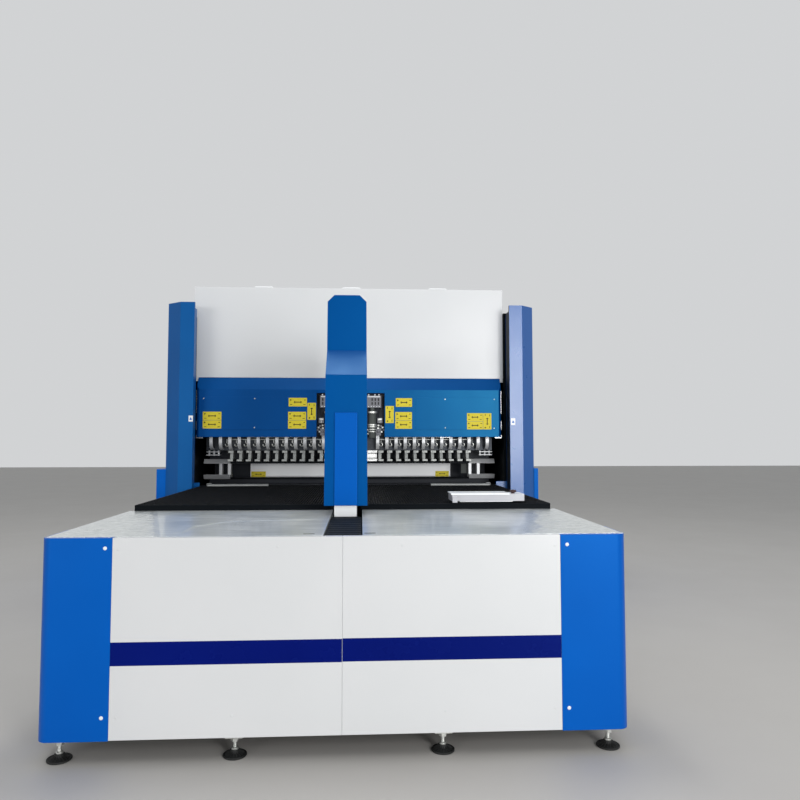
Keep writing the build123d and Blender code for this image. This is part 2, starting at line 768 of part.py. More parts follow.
# Bright hooks that curve down and back in front of the tool rail
hook_front = rail_front - hook_reach
hook_bend = cover_bottom - 56
hook_bottom = tool_rail_bottom + 7
with BuildPart() as tool_hooks:
    for side, word in sides:
        for x in tool_places(hook_count, side):
            bar_from_side([(hook_front, beam_bottom), (hook_front, hook_bend + 10),
                           (hook_front + 12, hook_bend - 18), (hook_front + 36, hook_bottom + 4),
                           (hook_front + 54, hook_bottom), (rail_front, hook_bottom),
                           (rail_front, hook_bottom + hook_band), (hook_front + 50, hook_bottom + hook_band),
                           (hook_front + hook_band, hook_bend + 5), (hook_front + hook_band, beam_bottom)],
                          x - hook_width / 2, x + hook_width / 2)
tool_hooks.part.label = "tool_hooks"
export_step(tool_hooks.part, "parts/tool_hooks.step")

# Section of a clamping tool: a C open to the front, with its nose on the bending line
segment_top = tool_rail_bottom - run_gap
segment_bottom = segment_top - segment_height
tool_section = [(bend_line, segment_top), (rail_front - 20, segment_top), (rail_front - 20, segment_top - 20),
                (bend_line - 36, segment_top - 32), (bend_line - 36, segment_bottom + 36),
                (rail_front - 50, segment_bottom + 22), (rail_front - 50, segment_bottom + 6),
                (bend_line - 10, segment_bottom), (bend_line, segment_bottom)]
for side, word in sides:
    with BuildPart() as tool_segments:
        for x in tool_places(segment_count, side):
            bar_from_side(tool_section, x - segment_width / 2, x + segment_width / 2)
    tool_segments.part.label = f"tool_segments_{word}"
    export_step(tool_segments.part, f"parts/tool_segments_{word}.step")

# Wide tools in the middle, fixed to the rail
with BuildPart() as centre_tools:
    for i in range(centre_tool_count):
        x = (i - (centre_tool_count - 1) / 2) * (centre_tool_width + centre_tool_gap)
        bar_from_side([(y, z + (run_gap if z == segment_top else 0)) for y, z in tool_section],
                      x - centre_tool_width / 2, x + centre_tool_width / 2)
centre_tools.part.label = "centre_tools"
export_step(centre_tools.part, "parts/centre_tools.step")


def cover_half_at(height):
    """Half the width of the manipulator's cover at a height; it tapers upward."""
    share = (height - column_cover_bottom) / (column_cover_top - column_cover_bottom)
    return cover_bottom_half + share * (cover_top_half - cover_bottom_half)


# C frame of the manipulator: neck through the slot, upper arm and lower arm
neck_rear = neck_front + neck_depth
upper_front = column_cover_front + column_cover_setback + 30
lower_arm_top = brush_top - lower_arm_drop - run_gap
throat_rear = clamp_line - 500
frame_outline = [(neck_front, carriage_top), (neck_front, column_cover_slope - 50),
                 (upper_front, column_cover_slope + 110), (upper_front, arm_top), (arm_end, arm_top),
                 (arm_end, arm_bottom), (throat_rear, arm_bottom), (neck_rear + 100, arm_bottom - 200),
                 (neck_rear + 100, lower_arm_top + 120), (neck_rear + 220, lower_arm_top),
                 (arm_end, lower_arm_top), (arm_end, lower_arm_top - lower_arm_depth),
                 (throat_rear, lower_arm_top - lower_arm_depth - 140), (neck_rear, carriage_top)]
with BuildPart() as manipulator_frame:
    bar_from_side(frame_outline, -arm_half, arm_half)
    with BuildSketch(Plane.XY.offset(arm_bottom)):
        with Locations((0, at(clamp_line))):
            Circle(ram_radius + shaft_gap)
    extrude(amount=arm_top - arm_bottom, mode=Mode.SUBTRACT)
    with BuildSketch(Plane.XY.offset(lower_arm_top)):
        with Locations((0, at(clamp_line))):
            Circle(spindle_radius + shaft_gap)
    extrude(amount=-spindle_length - 1, mode=Mode.SUBTRACT)
    for height in cover_bolt_heights:
        reach = cover_half_at(height) - sheet - 1
        with BuildSketch(Plane.YZ.offset(-reach)):
            with Locations((at(neck_rear - 100), height)):
                RegularPolygon(cover_bolt_radius, 8)
        extrude(amount=2 * reach)
manipulator_frame.part.label = "manipulator_frame"
export_step(manipulator_frame.part, "parts/manipulator_frame.step")

# Blue cover round the manipulator's column, set back above a sloped band
front_view = [(-cover_bottom_half, column_cover_bottom), (cover_bottom_half, column_cover_bottom),
              (cover_top_half, column_cover_top - cover_corner),
              (cover_top_half - cover_corner, column_cover_top),
              (cover_corner - cover_top_half, column_cover_top),
              (-cover_top_half, column_cover_top - cover_corner)]
with BuildPart() as manipulator_cover:
    bar_from_side([(column_cover_front, column_cover_bottom), (column_cover_front, column_cover_slope),
                   (column_cover_front + column_cover_setback, column_cover_slope + column_cover_setback),
                   (column_cover_front + column_cover_setback, column_cover_top),
                   (column_cover_rear, column_cover_top), (column_cover_rear, column_cover_bottom)],
                  -cover_bottom_half, cover_bottom_half)
    with BuildSketch(Plane.XZ.offset(-at(column_cover_front - 5))):
        with BuildLine():
            Polyline(front_view, close=True)
        make_face()
    extrude(amount=-(column_cover_rear - column_cover_front + 10), mode=Mode.INTERSECT)
    underside = manipulator_cover.faces().sort_by(Axis.Z)[0]
    rear = manipulator_cover.faces().sort_by(Axis.Y)[-1]
    offset(amount=-sheet, openings=[underside, rear])
manipulator_cover.part.label = "manipulator_cover"
export_step(manipulator_cover.part, "parts/manipulator_cover.step")

# Raised access cover on the column's front
with BuildPart() as access_cover:
    block((-access_half, access_half), (column_cover_front - access_height, column_cover_front),
          (column_cover_bottom + 3, access_top))
    front_face = access_cover.faces().sort_by(Axis.Y)[0]
    chamfer(front_face.edges(), 3)
access_cover.part.label = "access_cover"
export_step(access_cover.part, "parts/access_cover.step")

# Carriage with four guide blocks on the slot rails
carriage_rear = carriage_front + carriage_length
with BuildPart() as manipulator_carriage:
    block((-carriage_width / 2, carriage_width / 2), (carriage_front, carriage_rear),
          (carriage_top - carriage_plate, carriage_top))
    for side, word in sides:
        near = side * (slot_beam_x - guide_block / 2)
        far = side * (slot_beam_x + guide_block / 2)
        for start in (carriage_front + 20, carriage_rear - 220):
            block((near, far), (start, start + 200), (slot_beam_top + 5, carriage_top - carriage_plate))
        block((side * (slot_beam_x - guide_slot), side * (slot_beam_x + guide_slot)),
              (carriage_front, carriage_rear), (slot_beam_top, guide_top + run_gap), mode=Mode.SUBTRACT)
manipulator_carriage.part.label = "manipulator_carriage"
export_step(manipulator_carriage.part, "parts/manipulator_carriage.step")

# Coil unit of the feed drive, over the magnet track
with BuildPart() as feed_coil_unit:
    block((5 - track_half, track_half - 5), (carriage_front + 200, carriage_rear - 200),
          (track_top + 1, carriage_top - carriage_plate))
feed_coil_unit.part.label = "feed_coil_unit"
export_step(feed_coil_unit.part, "parts/feed_coil_unit.step")

# Clamp ram, sliding in the upper arm
upper_clamp_bottom = brush_top + clamp_gap
ram_bottom = upper_clamp_bottom + upper_clamp_height + run_gap
with BuildPart() as clamp_ram:
    with BuildSketch(Plane.XY.offset(ram_bottom)):
        with Locations((0, at(clamp_line))):
            Circle(ram_radius)
    extrude(amount=ram_length)
    with BuildSketch(Plane.XY.offset(ram_bottom)):
        with Locations((0, at(clamp_line))):
            Circle(spindle_radius + shaft_gap)
    extrude(amount=spindle_length + 1, mode=Mode.SUBTRACT)
clamp_ram.part.label = "clamp_ram"
export_step(clamp_ram.part, "parts/clamp_ram.step")

# Upper clamp, a disc that turns with the sheet
with BuildPart() as upper_clamp:
    with BuildSketch(Plane.XY.offset(upper_clamp_bottom)):
        with Locations((0, at(clamp_line))):
            Circle(upper_clamp_radius)
    extrude(amount=upper_clamp_height)
    chamfer(upper_clamp.edges().group_by(Axis.Z)[-1], 8)
    with BuildSketch(Plane.XY.offset(upper_clamp_bottom + upper_clamp_height)):
        with Locations((0, at(clamp_line))):
            Circle(spindle_radius)
    extrude(amount=spindle_length)
upper_clamp.part.label = "upper_clamp"
export_step(upper_clamp.part, "parts/upper_clamp.step")

# Lower clamp, a disc level with the brushes
with BuildPart() as lower_clamp:
    with BuildSketch(Plane.XY.offset(brush_top)):
        with Locations((0, at(clamp_line))):
            Circle(lower_clamp_radius)
    extrude(amount=-lower_arm_drop)
    with BuildSketch(Plane.XY.offset(brush_top - lower_arm_drop)):
        with Locations((0, at(clamp_line))):
            Circle(spindle_radius)
    extrude(amount=-spindle_length)
lower_clamp.part.label = "lower_clamp"
export_step(lower_clamp.part, "parts/lower_clamp.step")

# Bed beams behind the lower beam, for the blade carriage
with BuildPart() as blade_bed:
    for side, word in sides:
        block((side * (blade_guide_x - tube / 2), side * (blade_guide_x + tube / 2)),
              (press_front + lower_beam_depth, bed_rear), (bed_top - bed_height, bed_top))
blade_bed.part.label = "blade_bed"
export_step(blade_bed.part, "parts/blade_bed.step")

# Blade carriage: a back plate with blocks on the bed rails and upright rails in front
back_front = holder_rear + carriage_gap
with BuildPart() as blade_carriage:
    block((-carriage_half, carriage_half), (back_front, back_front + carriage_back_depth),
          (bed_top + guide_height + 20, carriage_back_top))
    for side, word in sides:
        block((side * (blade_guide_x - guide_block / 2), side * (blade_guide_x + guide_block / 2)),
              (back_front - carriage_block_reach, back_front + carriage_back_depth),
              (bed_top + 3, bed_top + guide_height + 60))
        block((side * (blade_guide_x - guide_slot), side * (blade_guide_x + guide_slot)),
              (back_front - carriage_block_reach - 5, back_front + carriage_back_depth + 5),
              (bed_top, bed_top + guide_height + run_gap), mode=Mode.SUBTRACT)
        block((side * (blade_guide_x - guide_width / 2), side * (blade_guide_x + guide_width / 2)),
              (back_front - guide_height, back_front),
              (holder_bottom - carriage_rail_drop, carriage_back_top))
blade_carriage.part.label = "blade_carriage"
export_step(blade_carriage.part, "parts/blade_carriage.step")

# Blade holder, a C open to the bending line, with blocks on the carriage's rails
holder_front = blade_front + blade_depth
with BuildPart() as blade_holder:
    bar_from_side([(holder_front, mouth_top), (holder_front, mouth_top + holder_lip),
                   (holder_front + mouth_slope, holder_top), (holder_rear, holder_top),
                   (holder_rear, holder_bottom), (holder_front + mouth_slope, holder_bottom),
                   (holder_front, mouth_bottom - holder_lip), (holder_front, mouth_bottom),
                   (mouth_rear, mouth_bottom), (mouth_rear, mouth_top)], -holder_half, holder_half)
    for side, word in sides:
        near = side * (blade_guide_x - guide_block / 2)
        far = side * (blade_guide_x + guide_block / 2)
        for low in (holder_bottom + holder_block_inset,
                    holder_top - holder_block_inset - holder_block_height):
            block((near, far), (holder_rear, back_front - 5), (low, low + holder_block_height))
        block((side * (blade_guide_x - guide_slot), side * (blade_guide_x + guide_slot)),
              (back_front - guide_height - run_gap, back_front), (holder_bottom, holder_top),
              mode=Mode.SUBTRACT)
blade_holder.part.label = "blade_holder"
export_step(blade_holder.part, "parts/blade_holder.step")

# Upper and lower bending blades in front of the holder
with BuildPart() as bending_blades:
    for low in (mouth_bottom, mouth_top - blade_height):
        outward = low > mouth_bottom
        edge_z = low if outward else low + blade_height
        back_z = low + blade_height if outward else low
        bar_from_side([(blade_front, edge_z), (holder_front + 40, edge_z), (holder_front + 40, back_z),
                       (blade_front + 24, back_z)], -blade_half, blade_half)
bending_blades.part.label = "bending_blades"
export_step(bending_blades.part, "parts/bending_blades.step")

# Short posts between the blades beyond the bending width
with BuildPart() as blade_end_posts:
    for side, word in sides:
        for x in end_post_places:
            block((side * (x - end_post_width / 2), side * (x + end_post_width / 2)),
                  (blade_front + 20, holder_front), (mouth_bottom + blade_height, mouth_top - blade_height))
blade_end_posts.part.label = "blade_end_posts"
export_step(blade_end_posts.part, "parts/blade_end_posts.step")

# White cover inside the mouth of the blade holder
with BuildPart() as blade_cover:
    block((-blade_cover_half, blade_cover_half), (mouth_rear - 50, mouth_rear),
          (mouth_bottom + 3, mouth_top - 3))
    chamfer(blade_cover.faces().sort_by(Axis.Y)[0].edges().filter_by(Axis.X), 8)
blade_cover.part.label = "blade_cover"
export_step(blade_cover.part, "parts/blade_cover.step")

# Side gauge, a white box with a lipped top and a foot at its inner end
gauge_bottom = brush_top + gauge_rail_height + run_gap
gauge_top = gauge_bottom + gauge_height
with BuildPart() as side_gauge:
    block((gauge_inner, gauge_outer), (gauge_front, gauge_front + gauge_depth),
          (gauge_bottom, gauge_top - gauge_lid))
    block((gauge_inner - gauge_lid, knob_x - knob_radius - 16),
          (gauge_front - gauge_lid, gauge_front + gauge_depth), (gauge_top - gauge_lid, gauge_top))
    bar_from_side([(gauge_front - 24, gauge_bottom + 30), (gauge_front, gauge_bottom + 30),
                   (gauge_front, gauge_bottom), (gauge_front - 24, gauge_bottom - 8)],
                  gauge_inner + 2, gauge_inner + 32)
side_gauge.part.label = "side_gauge"
export_step(side_gauge.part, "parts/side_gauge.step")

# Clamp knob of the gauge
with BuildPart() as gauge_knob:
    with BuildSketch(Plane.XY.offset(gauge_top - gauge_lid + run_gap)):
        with Locations((knob_x, at(gauge_front + 60))):
            RegularPolygon(knob_radius, round_sides)
    extrude(amount=knob_height)
    chamfer(gauge_knob.edges().group_by(Axis.Z)[-1], 4)
gauge_knob.part.label = "gauge_knob"
export_step(gauge_knob.part, "parts/gauge_knob.step")
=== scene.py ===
"""Panel bender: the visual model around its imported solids, with materials, floor, light and camera.

Lengths are metres. Places along Y count from the front of the machine and go through at().
"""
import json
import math
import random

import bmesh
import bpy
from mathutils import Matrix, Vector, noise


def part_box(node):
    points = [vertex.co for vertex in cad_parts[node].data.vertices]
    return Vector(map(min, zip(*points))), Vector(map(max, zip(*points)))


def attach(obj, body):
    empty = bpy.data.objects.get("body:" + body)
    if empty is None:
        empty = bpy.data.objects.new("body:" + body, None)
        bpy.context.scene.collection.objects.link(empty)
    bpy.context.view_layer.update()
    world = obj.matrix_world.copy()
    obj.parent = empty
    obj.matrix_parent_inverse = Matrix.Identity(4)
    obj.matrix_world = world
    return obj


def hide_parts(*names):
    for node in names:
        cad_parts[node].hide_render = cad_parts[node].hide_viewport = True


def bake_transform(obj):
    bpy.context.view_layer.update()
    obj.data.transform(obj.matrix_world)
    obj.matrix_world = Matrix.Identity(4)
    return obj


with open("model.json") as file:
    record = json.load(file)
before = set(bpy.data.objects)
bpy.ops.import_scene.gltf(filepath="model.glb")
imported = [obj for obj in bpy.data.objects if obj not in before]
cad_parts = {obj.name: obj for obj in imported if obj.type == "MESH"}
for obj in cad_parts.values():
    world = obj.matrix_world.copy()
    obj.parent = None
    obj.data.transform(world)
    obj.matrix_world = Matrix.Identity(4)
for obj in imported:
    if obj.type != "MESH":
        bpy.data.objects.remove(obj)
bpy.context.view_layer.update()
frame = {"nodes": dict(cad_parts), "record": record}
front_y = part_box("front_panel_left")[0].y
rng = random.Random(7)
sides = ((-1, "left"), (1, "right"))


def at(distance):
    """The Y position at a distance behind the front of the machine."""
    return front_y + distance


def depth(y):
    """How far a Y position lies behind the front of the machine."""
    return y - front_y


def outward(side):
    """The name of the direction that looks away from the machine's middle on one side."""
    return "x" if side > 0 else "-x"


# Materials

# Loose film covers the steel plates beyond this half width, which grows with the way from the front
film_start, film_slope = 0.8, 0.3


def paint(red, green, blue):
    """A shader colour from 8-bit display values."""
    values = [c / 255 for c in (red, green, blue)]
    return [c / 12.92 if c <= 0.04045 else ((c + 0.055) / 1.055) ** 2.4 for c in values] + [1]


class Graph:
    """A node material: its shader, its object coordinates and short ways to add nodes."""

    def __init__(self, name, **sockets):
        self.material = bpy.data.materials.new(name)
        self.material.use_nodes = True
        self.tree = self.material.node_tree
        self.shader = self.tree.nodes["Principled BSDF"]
        self.place = self.node("ShaderNodeTexCoord").outputs["Object"]
        for socket, value in sockets.items():
            self.shader.inputs[socket.replace("_", " ")].default_value = value

    def node(self, kind, links=(), **settings):
        made = self.tree.nodes.new(kind)
        for name, value in settings.items():
            if hasattr(made, name):
                setattr(made, name, value)
            else:
                made.inputs[name.replace("_", " ")].default_value = value
        for name, source in dict(links).items():
            self.tree.links.new(source, made.inputs[name])
        return made

    def stretched(self, *scale):
        return self.node("ShaderNodeMapping", {"Vector": self.place}, Scale=scale).outputs["Vector"]

    def noise(self, scale, detail=2.0, roughness=0.5, place=None):
        made = self.node("ShaderNodeTexNoise", {"Vector": place or self.place}, Scale=scale,
                         Detail=detail, Roughness=roughness)
        return made.outputs["Fac"]

    def ramp(self, source, low, high):
        made = self.node("ShaderNodeMapRange", {"Value": source}, From_Min=low, From_Max=high)
        return made.outputs["Result"]

    def mixed(self, factor, first, second):
        """A mix of two colours, each a node's output or 8-bit display values."""
        made = self.node("ShaderNodeMix", data_type="RGBA")
        self.tree.links.new(factor, made.inputs["Factor"])
        for socket, value in zip([s for s in made.inputs if s.type == "RGBA"], (first, second)):
            if isinstance(value, tuple):
                socket.default_value = paint(*value)
            else:
                self.tree.links.new(value, socket)
        return [s for s in made.outputs if s.type == "RGBA"][0]

    def maths(self, operation, first, second=0.0):
        made = self.node("ShaderNodeMath", operation=operation)
        for socket, value in zip(made.inputs, (first, second)):
            if isinstance(value, (int, float)):
                socket.default_value = value
            else:
                self.tree.links.new(value, socket)
        return made.outputs["Value"]

    def colour(self, source):
        self.tree.links.new(source, self.shader.inputs["Base Color"])

    def rough(self, source, low, high):
        span = self.node("ShaderNodeMapRange", {"Value": source}, To_Min=low, To_Max=high)
        self.tree.links.new(span.outputs["Result"], self.shader.inputs["Roughness"])

    def bump(self, source, distance, strength=1.0, below=None):
        made = self.node("ShaderNodeBump", {"Height": source}, Distance=distance, Strength=strength)
        if below is not None:
            self.tree.links.new(below, made.inputs["Normal"])
        self.tree.links.new(made.outputs["Normal"], self.shader.inputs["Normal"])
        return made.outputs["Normal"]


def coated(name, colour, deep, rough=(0.3, 0.42), coat=0.0, tint=(1, 1, 1)):
    """Satin powder coat: orange peel, slow changes of shade and a sheet that isn't perfectly flat."""
    g = Graph(name, Specular_Tint=(*tint, 1), Coat_Weight=coat, Coat_Roughness=0.2)
    g.colour(g.mixed(g.ramp(g.noise(0.9, 3, 0.55), 0.35, 0.7), colour, deep))
    g.rough(g.noise(7, 4, 0.6), *rough)
    waves = g.bump(g.noise(1.6, 2), 0.012, 0.25)
    g.bump(g.noise(420, 2, 0.5), 0.00025, 0.3, below=waves)
    return g.material


def steel(name, colour, deep, rough, stretch=(1, 30, 30), scale=20.0, metallic=0.7):
    """Ground or brushed steel, its grain along the axis with the smallest stretch."""
    g = Graph(name, Metallic=metallic)
    grain = g.noise(scale, 4, 0.6, g.stretched(*stretch))
    shade = g.maths("ADD", g.maths("MULTIPLY", grain, 0.55), g.maths("MULTIPLY", g.noise(3.0, 4, 0.6), 0.45))
    g.colour(g.mixed(g.ramp(shade, 0.35, 0.65), deep, colour))
    g.rough(shade, *rough)
    g.bump(grain, 0.0001, 0.5)
    return g.material


def moulded(name, colour, deep, rough=(0.55, 0.8), shine=0.5):
    """Moulded rubber, cloth or plastic with a fine grain."""
    g = Graph(name, Specular_IOR_Level=shine)
    g.colour(g.mixed(g.noise(6, 4, 0.6), colour, deep))
    g.rough(g.noise(14, 3), *rough)
    g.bump(g.noise(900, 2), 0.0002, 0.5)
    return g.material


def pleated_cloth(top):
    """Coated bellows cloth: its pleats are painted lighter at their tops as a highlight and dark between them
    as shade, with some random tone.
    """
    g = Graph("bellows_cloth", Specular_IOR_Level=0.22)
    height = g.node("ShaderNodeSeparateXYZ", {"Vector": g.place}).outputs["Z"]
    # Painted light: lighter toward the pleat tops as a highlight, darker in the folds as shade, plus random
    # tone
    pleat_light_and_tone = g.maths("ADD", g.ramp(height, top - 0.0095, top - 0.0015),
                   g.maths("MULTIPLY", g.maths("SUBTRACT", g.noise(60, 4, 0.6), 0.5), 0.5))
    g.colour(g.mixed(g.ramp(pleat_light_and_tone, 0.1, 1.0), (5, 7, 9), (42, 49, 54)))
    g.rough(g.noise(14, 3), 0.4, 0.6)
    g.bump(g.noise(900, 2), 0.0002, 0.5)
    return g.material


def filmed_steel():
    """The table plates: streaked bare steel, under loose glossy film toward their outer edges."""
    g = Graph("plate_steel", Metallic=0.68, Coat_Weight=0.4, Coat_Roughness=0.12)
    place = g.node("ShaderNodeSeparateXYZ", {"Vector": g.place})
    behind = g.maths("MULTIPLY", g.maths("SUBTRACT", place.outputs["Y"], front_y), film_slope)
    reach = g.maths("SUBTRACT", g.maths("ABSOLUTE", place.outputs["X"]), behind)
    loose = g.ramp(reach, film_start, film_start + 0.03)
    streak = g.noise(3.2, 8, 0.7, g.stretched(1.0, 16, 1))
    cloud = g.noise(3.4, 6, 0.65)
    crinkle = g.noise(34, 5, 0.62, g.stretched(1.0, 1.7, 1))
    shade = g.maths("ADD", g.maths("MULTIPLY", streak, 0.6), g.maths("MULTIPLY", cloud, 0.4))
    bare = g.mixed(g.ramp(shade, 0.38, 0.62), (204, 211, 211), (244, 247, 246))
    # Painted light: the film's colour follows its crinkle bump, lighter on the raised crinkles and darker in
    # the creases
    film = g.mixed(g.ramp(crinkle, 0.35, 0.65), (196, 202, 200), (232, 235, 233))
    g.colour(g.mixed(loose, bare, film))
    g.rough(g.maths("SUBTRACT", shade, g.maths("MULTIPLY", loose, 0.2)), 0.2, 0.52)
    creases = g.bump(g.maths("MULTIPLY", crinkle, loose), 0.006, 0.8)
    g.bump(shade, 0.0012, 0.5, below=creases)
    return g.material


satin, satin_steel, tinted_black = (0.26, 0.38), (0.26, 0.42), (0.5, 0.5, 0.5)
blue = coated("blue_coat", (2, 90, 184), (2, 80, 170), tint=(0.08, 0.4, 1.0))
beam_blue = coated("beam_blue", (2, 70, 142), (2, 61, 128), tint=(0.12, 0.5, 1.0))
# Painted sheen: a lighter, glossier copy of the beam paint, for the right beam cover and its plate only
beam_sheen = coated("beam_sheen", (2, 74, 144), (2, 66, 132), (0.27, 0.34), tint=(0.1, 0.66, 1.0))
column_blue = coated("column_blue", (3, 82, 152), (2, 72, 138), tint=(0.22, 0.65, 1.0))
# Painted sheen: a lighter copy of the column paint with a plain reflection colour, for the right column only
sheen_blue = coated("sheen_blue", (6, 86, 162), (4, 78, 152), (0.24, 0.34), 0.4, (0.9, 0.95, 1.0))
# Painted shade: a copy of the beam paint with a faint, rough reflection, for the upward-sloping band of the
# beam covers
shaded_shoulder_blue = coated("shaded_shoulder_blue", (2, 74, 140), (2, 66, 128), (0.4, 0.5), tint=(0.05, 0.2, 0.5))
arm_blue = coated("arm_blue", (2, 72, 146), (2, 66, 136), tint=(0.04, 0.55, 1.0))
white = coated("white_coat", (234, 235, 236), (228, 230, 231), satin, 0.2)
panel_white = coated("panel_white", (217, 218, 219), (211, 213, 214), satin, 0.2)
# Painted shade: a grey copy of the white coat for the side gauge's sides
shaded_gauge_white = coated("shaded_gauge_white", (191, 191, 195), (183, 183, 188), coat=0.1)
# Painted light: a brighter copy of the white coat for the manipulator frame and the blade cover, where little
# light reaches, and for the top of the side gauge
white_with_painted_light = coated("white_with_painted_light", (253, 254, 255), (249, 251, 252), coat=0.2)
# Painted shade: a darker copy of the white coat for the hood, which the lamps light more strongly
shaded_hood_white = coated("shaded_hood_white", (220, 221, 222), (215, 217, 218), satin, 0.2)
cast_grey = coated("cast_grey", (78, 82, 80), (60, 64, 62), (0.45, 0.6), tint=(0.4, 0.4, 0.4))
navy = coated("navy_film", (4, 18, 106), (3, 14, 94), (0.22, 0.32), tint=(0.08, 0.16, 0.6))
enamel = coated("dark_enamel", (40, 44, 52), (30, 34, 42), (0.4, 0.6), tint=tinted_black)
black_coat = coated("black_coat", (7, 9, 12), (4, 6, 9), (0.45, 0.65), tint=(0.14, 0.16, 0.18))
yellow = coated("yellow_plate", (226, 208, 60), (216, 198, 54), (0.35, 0.48), tint=(1, 0.9, 0.3))
mark_black = coated("mark_black", (24, 24, 22), (16, 16, 15), (0.4, 0.55), tint=tinted_black)
sign_white = coated("sign_white", (238, 240, 242), (230, 233, 236), (0.3, 0.4), 0.2)
plate_steel = filmed_steel()
ground_steel = steel("ground_steel", (222, 223, 224), (180, 182, 184), satin_steel, scale=22.0, metallic=0.85)
tool_steel = steel("tool_steel", (196, 198, 194), (134, 137, 136), (0.36, 0.55), (12, 12, 1), 30.0, 0.5)
blade_end = steel("blade_end", (232, 233, 234), (196, 198, 200), (0.34, 0.5), metallic=0.4)
hook_steel = steel("hook_steel", (246, 247, 248), (216, 218, 220), (0.32, 0.46), (1, 1, 20), 24.0, 0.3)
dark_steel = steel("dark_steel", (74, 77, 82), (40, 43, 48), (0.36, 0.55), (1, 25, 25), metallic=0.8)
zinc = steel("zinc_plating", (222, 223, 218), (176, 178, 175), (0.3, 0.45), (1, 1, 1), 60.0, 0.75)
rail_steel = steel("rail_steel", (176, 178, 177), (128, 131, 130), (0.36, 0.5), metallic=0.5)
nickel = steel("bright_nickel", (242, 242, 240), (214, 215, 214), (0.2, 0.34), (1, 1, 20))
brush_black = moulded("brush_black", (13, 16, 20), (6, 8, 11), shine=0.2)
bellows_cloth = pleated_cloth(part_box("slot_bellows_front")[1].z)
rubber = moulded("pad_rubber", (22, 24, 24), (10, 12, 12))
knob_plastic = moulded("knob_plastic", (70, 26, 24), (34, 16, 16), (0.3, 0.45))
grey_plastic = moulded("grey_plastic", (130, 130, 136), (104, 105, 112), (0.4, 0.55))

slot_materials = {
    "blue_paint": blue, "white_paint": white, "frame_paint": enamel, "bare_steel": ground_steel,
    "dark_steel": dark_steel, "brush_black": brush_black, "bellows_black": bellows_cloth,
    "pad_rubber": rubber, "knob_black": knob_plastic,
}
node_slot = {part["node"]: part["material_slot"] for part in frame["record"]["subparts"]}
node_body = {name: body for body, names in frame["record"]["behaviour"]["bodies"].items() for name in names}
shown = set()


# Meshes

def closed(bm, faces, material=0):
    """Turns a closed shape's faces outward and gives them their material."""
    bmesh.ops.recalc_face_normals(bm, faces=faces)
    for face in faces:
        face.material_index = material
    return faces


def prism(bm, outline, low, high, across="x", material=0):
    """A straight bar: its outline lies across one axis and it runs from low to high along it."""
    def point(a, b, c):
        return {"x": (c, a, b), "y": (a, c, b), "z": (a, b, c)}[across]
    near = [bm.verts.new(point(a, b, low)) for a, b in outline]
    far = [bm.verts.new(point(a, b, high)) for a, b in outline]
    faces = [bm.faces.new(near), bm.faces.new(reversed(far))]
    for i in range(len(outline)):
        j = (i + 1) % len(outline)
        faces.append(bm.faces.new((near[j], near[i], far[i], far[j])))
    return closed(bm, faces, material)


def side_view(points):
    """An outline seen from the side, its first values counted from the machine's front."""
    return [(at(y), z) for y, z in points]


def block(bm, xs, ys, zs, material=0):
    """A squared block between three pairs of limits; y counts from the machine's front."""
    x, y, z = sorted(xs), sorted(at(d) for d in ys), sorted(zs)
    return prism(bm, [(x[0], y[0]), (x[1], y[0]), (x[1], y[1]), (x[0], y[1])], z[0], z[1], "z", material)


def plate(bm, us, face, zs, thick, corner=0.004, material=0, toward="-y"):
    """A thin rounded plate on a face; it looks along y from a distance, or along x from an x position."""
    u, z = sorted(us), sorted(zs)
    if toward[-1] == "x":
        u = [at(d) for d in u]
    flip = -1 if toward[0] == "-" else 1
    start = face if toward[-1] == "x" else at(face)
    outline = []
    for cu, cz, turned in ((u[1] - corner, z[1] - corner, 0), (u[0] + corner, z[1] - corner, 90),
                           (u[0] + corner, z[0] + corner, 180), (u[1] - corner, z[0] + corner, 270)):
        for step in range(4):
            turn = math.radians(turned + step * 30)
            outline.append((cu + corner * math.cos(turn), cz + corner * math.sin(turn)))
    return prism(bm, outline, start, start + flip * thick, toward[-1], material)


def lathe(bm, profile, centre, axis="z", count=24, material=0):
    """A turned shape from (radius, distance along the axis) points, closed at both ends."""
    x, y, z = centre
    rings = []
    for radius, along in profile:
        ring = []
        for i in range(count if radius > 0 else 1):
            turn = 2 * math.pi * i / count
            a, b = radius * math.cos(turn), radius * math.sin(turn)
            ring.append(bm.verts.new({"z": (x + a, y + b, z + along), "y": (x + a, y + along, z + b),
                                      "x": (x + along, y + a, z + b)}[axis]))
        rings.append(ring)
    faces = []
    for ring, following in zip(rings, rings[1:]):
        for i in range(count):
            corners = dict.fromkeys((ring[i % len(ring)], ring[(i + 1) % len(ring)],
                                     following[(i + 1) % len(following)], following[i % len(following)]))
            if len(corners) > 2:
                faces.append(bm.faces.new(list(corners)))
    for ring in (rings[0], rings[-1]):
        if len(ring) > 1:
            faces.append(bm.faces.new(ring))
    return closed(bm, faces, material)


def disc(bm, radius, low, high, centre, axis="z", count=16, material=0):
    """A plain round bar or washer."""
    lathe(bm, [(0.0, low), (radius, low), (radius, high), (0.0, high)], centre, axis, count, material)


def stub(bm, wide, narrow, shoulder, height, centre, axis="z", count=16, material=0):
    """A short round boss with a bevelled end."""
    lathe(bm, [(0.0, 0.0), (wide, 0.0), (wide, shoulder), (narrow, height), (0.0, height)], centre, axis,
          count, material)


button_head = [(0.0, 0.25), (0.42, 0.25), (0.42, 0.95), (0.62, 1.0), (0.85, 0.75), (1.0, 0.3), (1.0, 0.0),
               (0.0, 0.0)]
panel_screw, cover_bolt, plate_screw = (0.0055, 0.0016), (0.007, 0.003), (0.0062, 0.003)
tool_screw, motor_screw = (0.005, 0.003), (0.0048, 0.003)
small_screw, access_screw, lid_screw = (0.004, 0.0016), (0.0036, 0.0014), (0.0045, 0.0016)


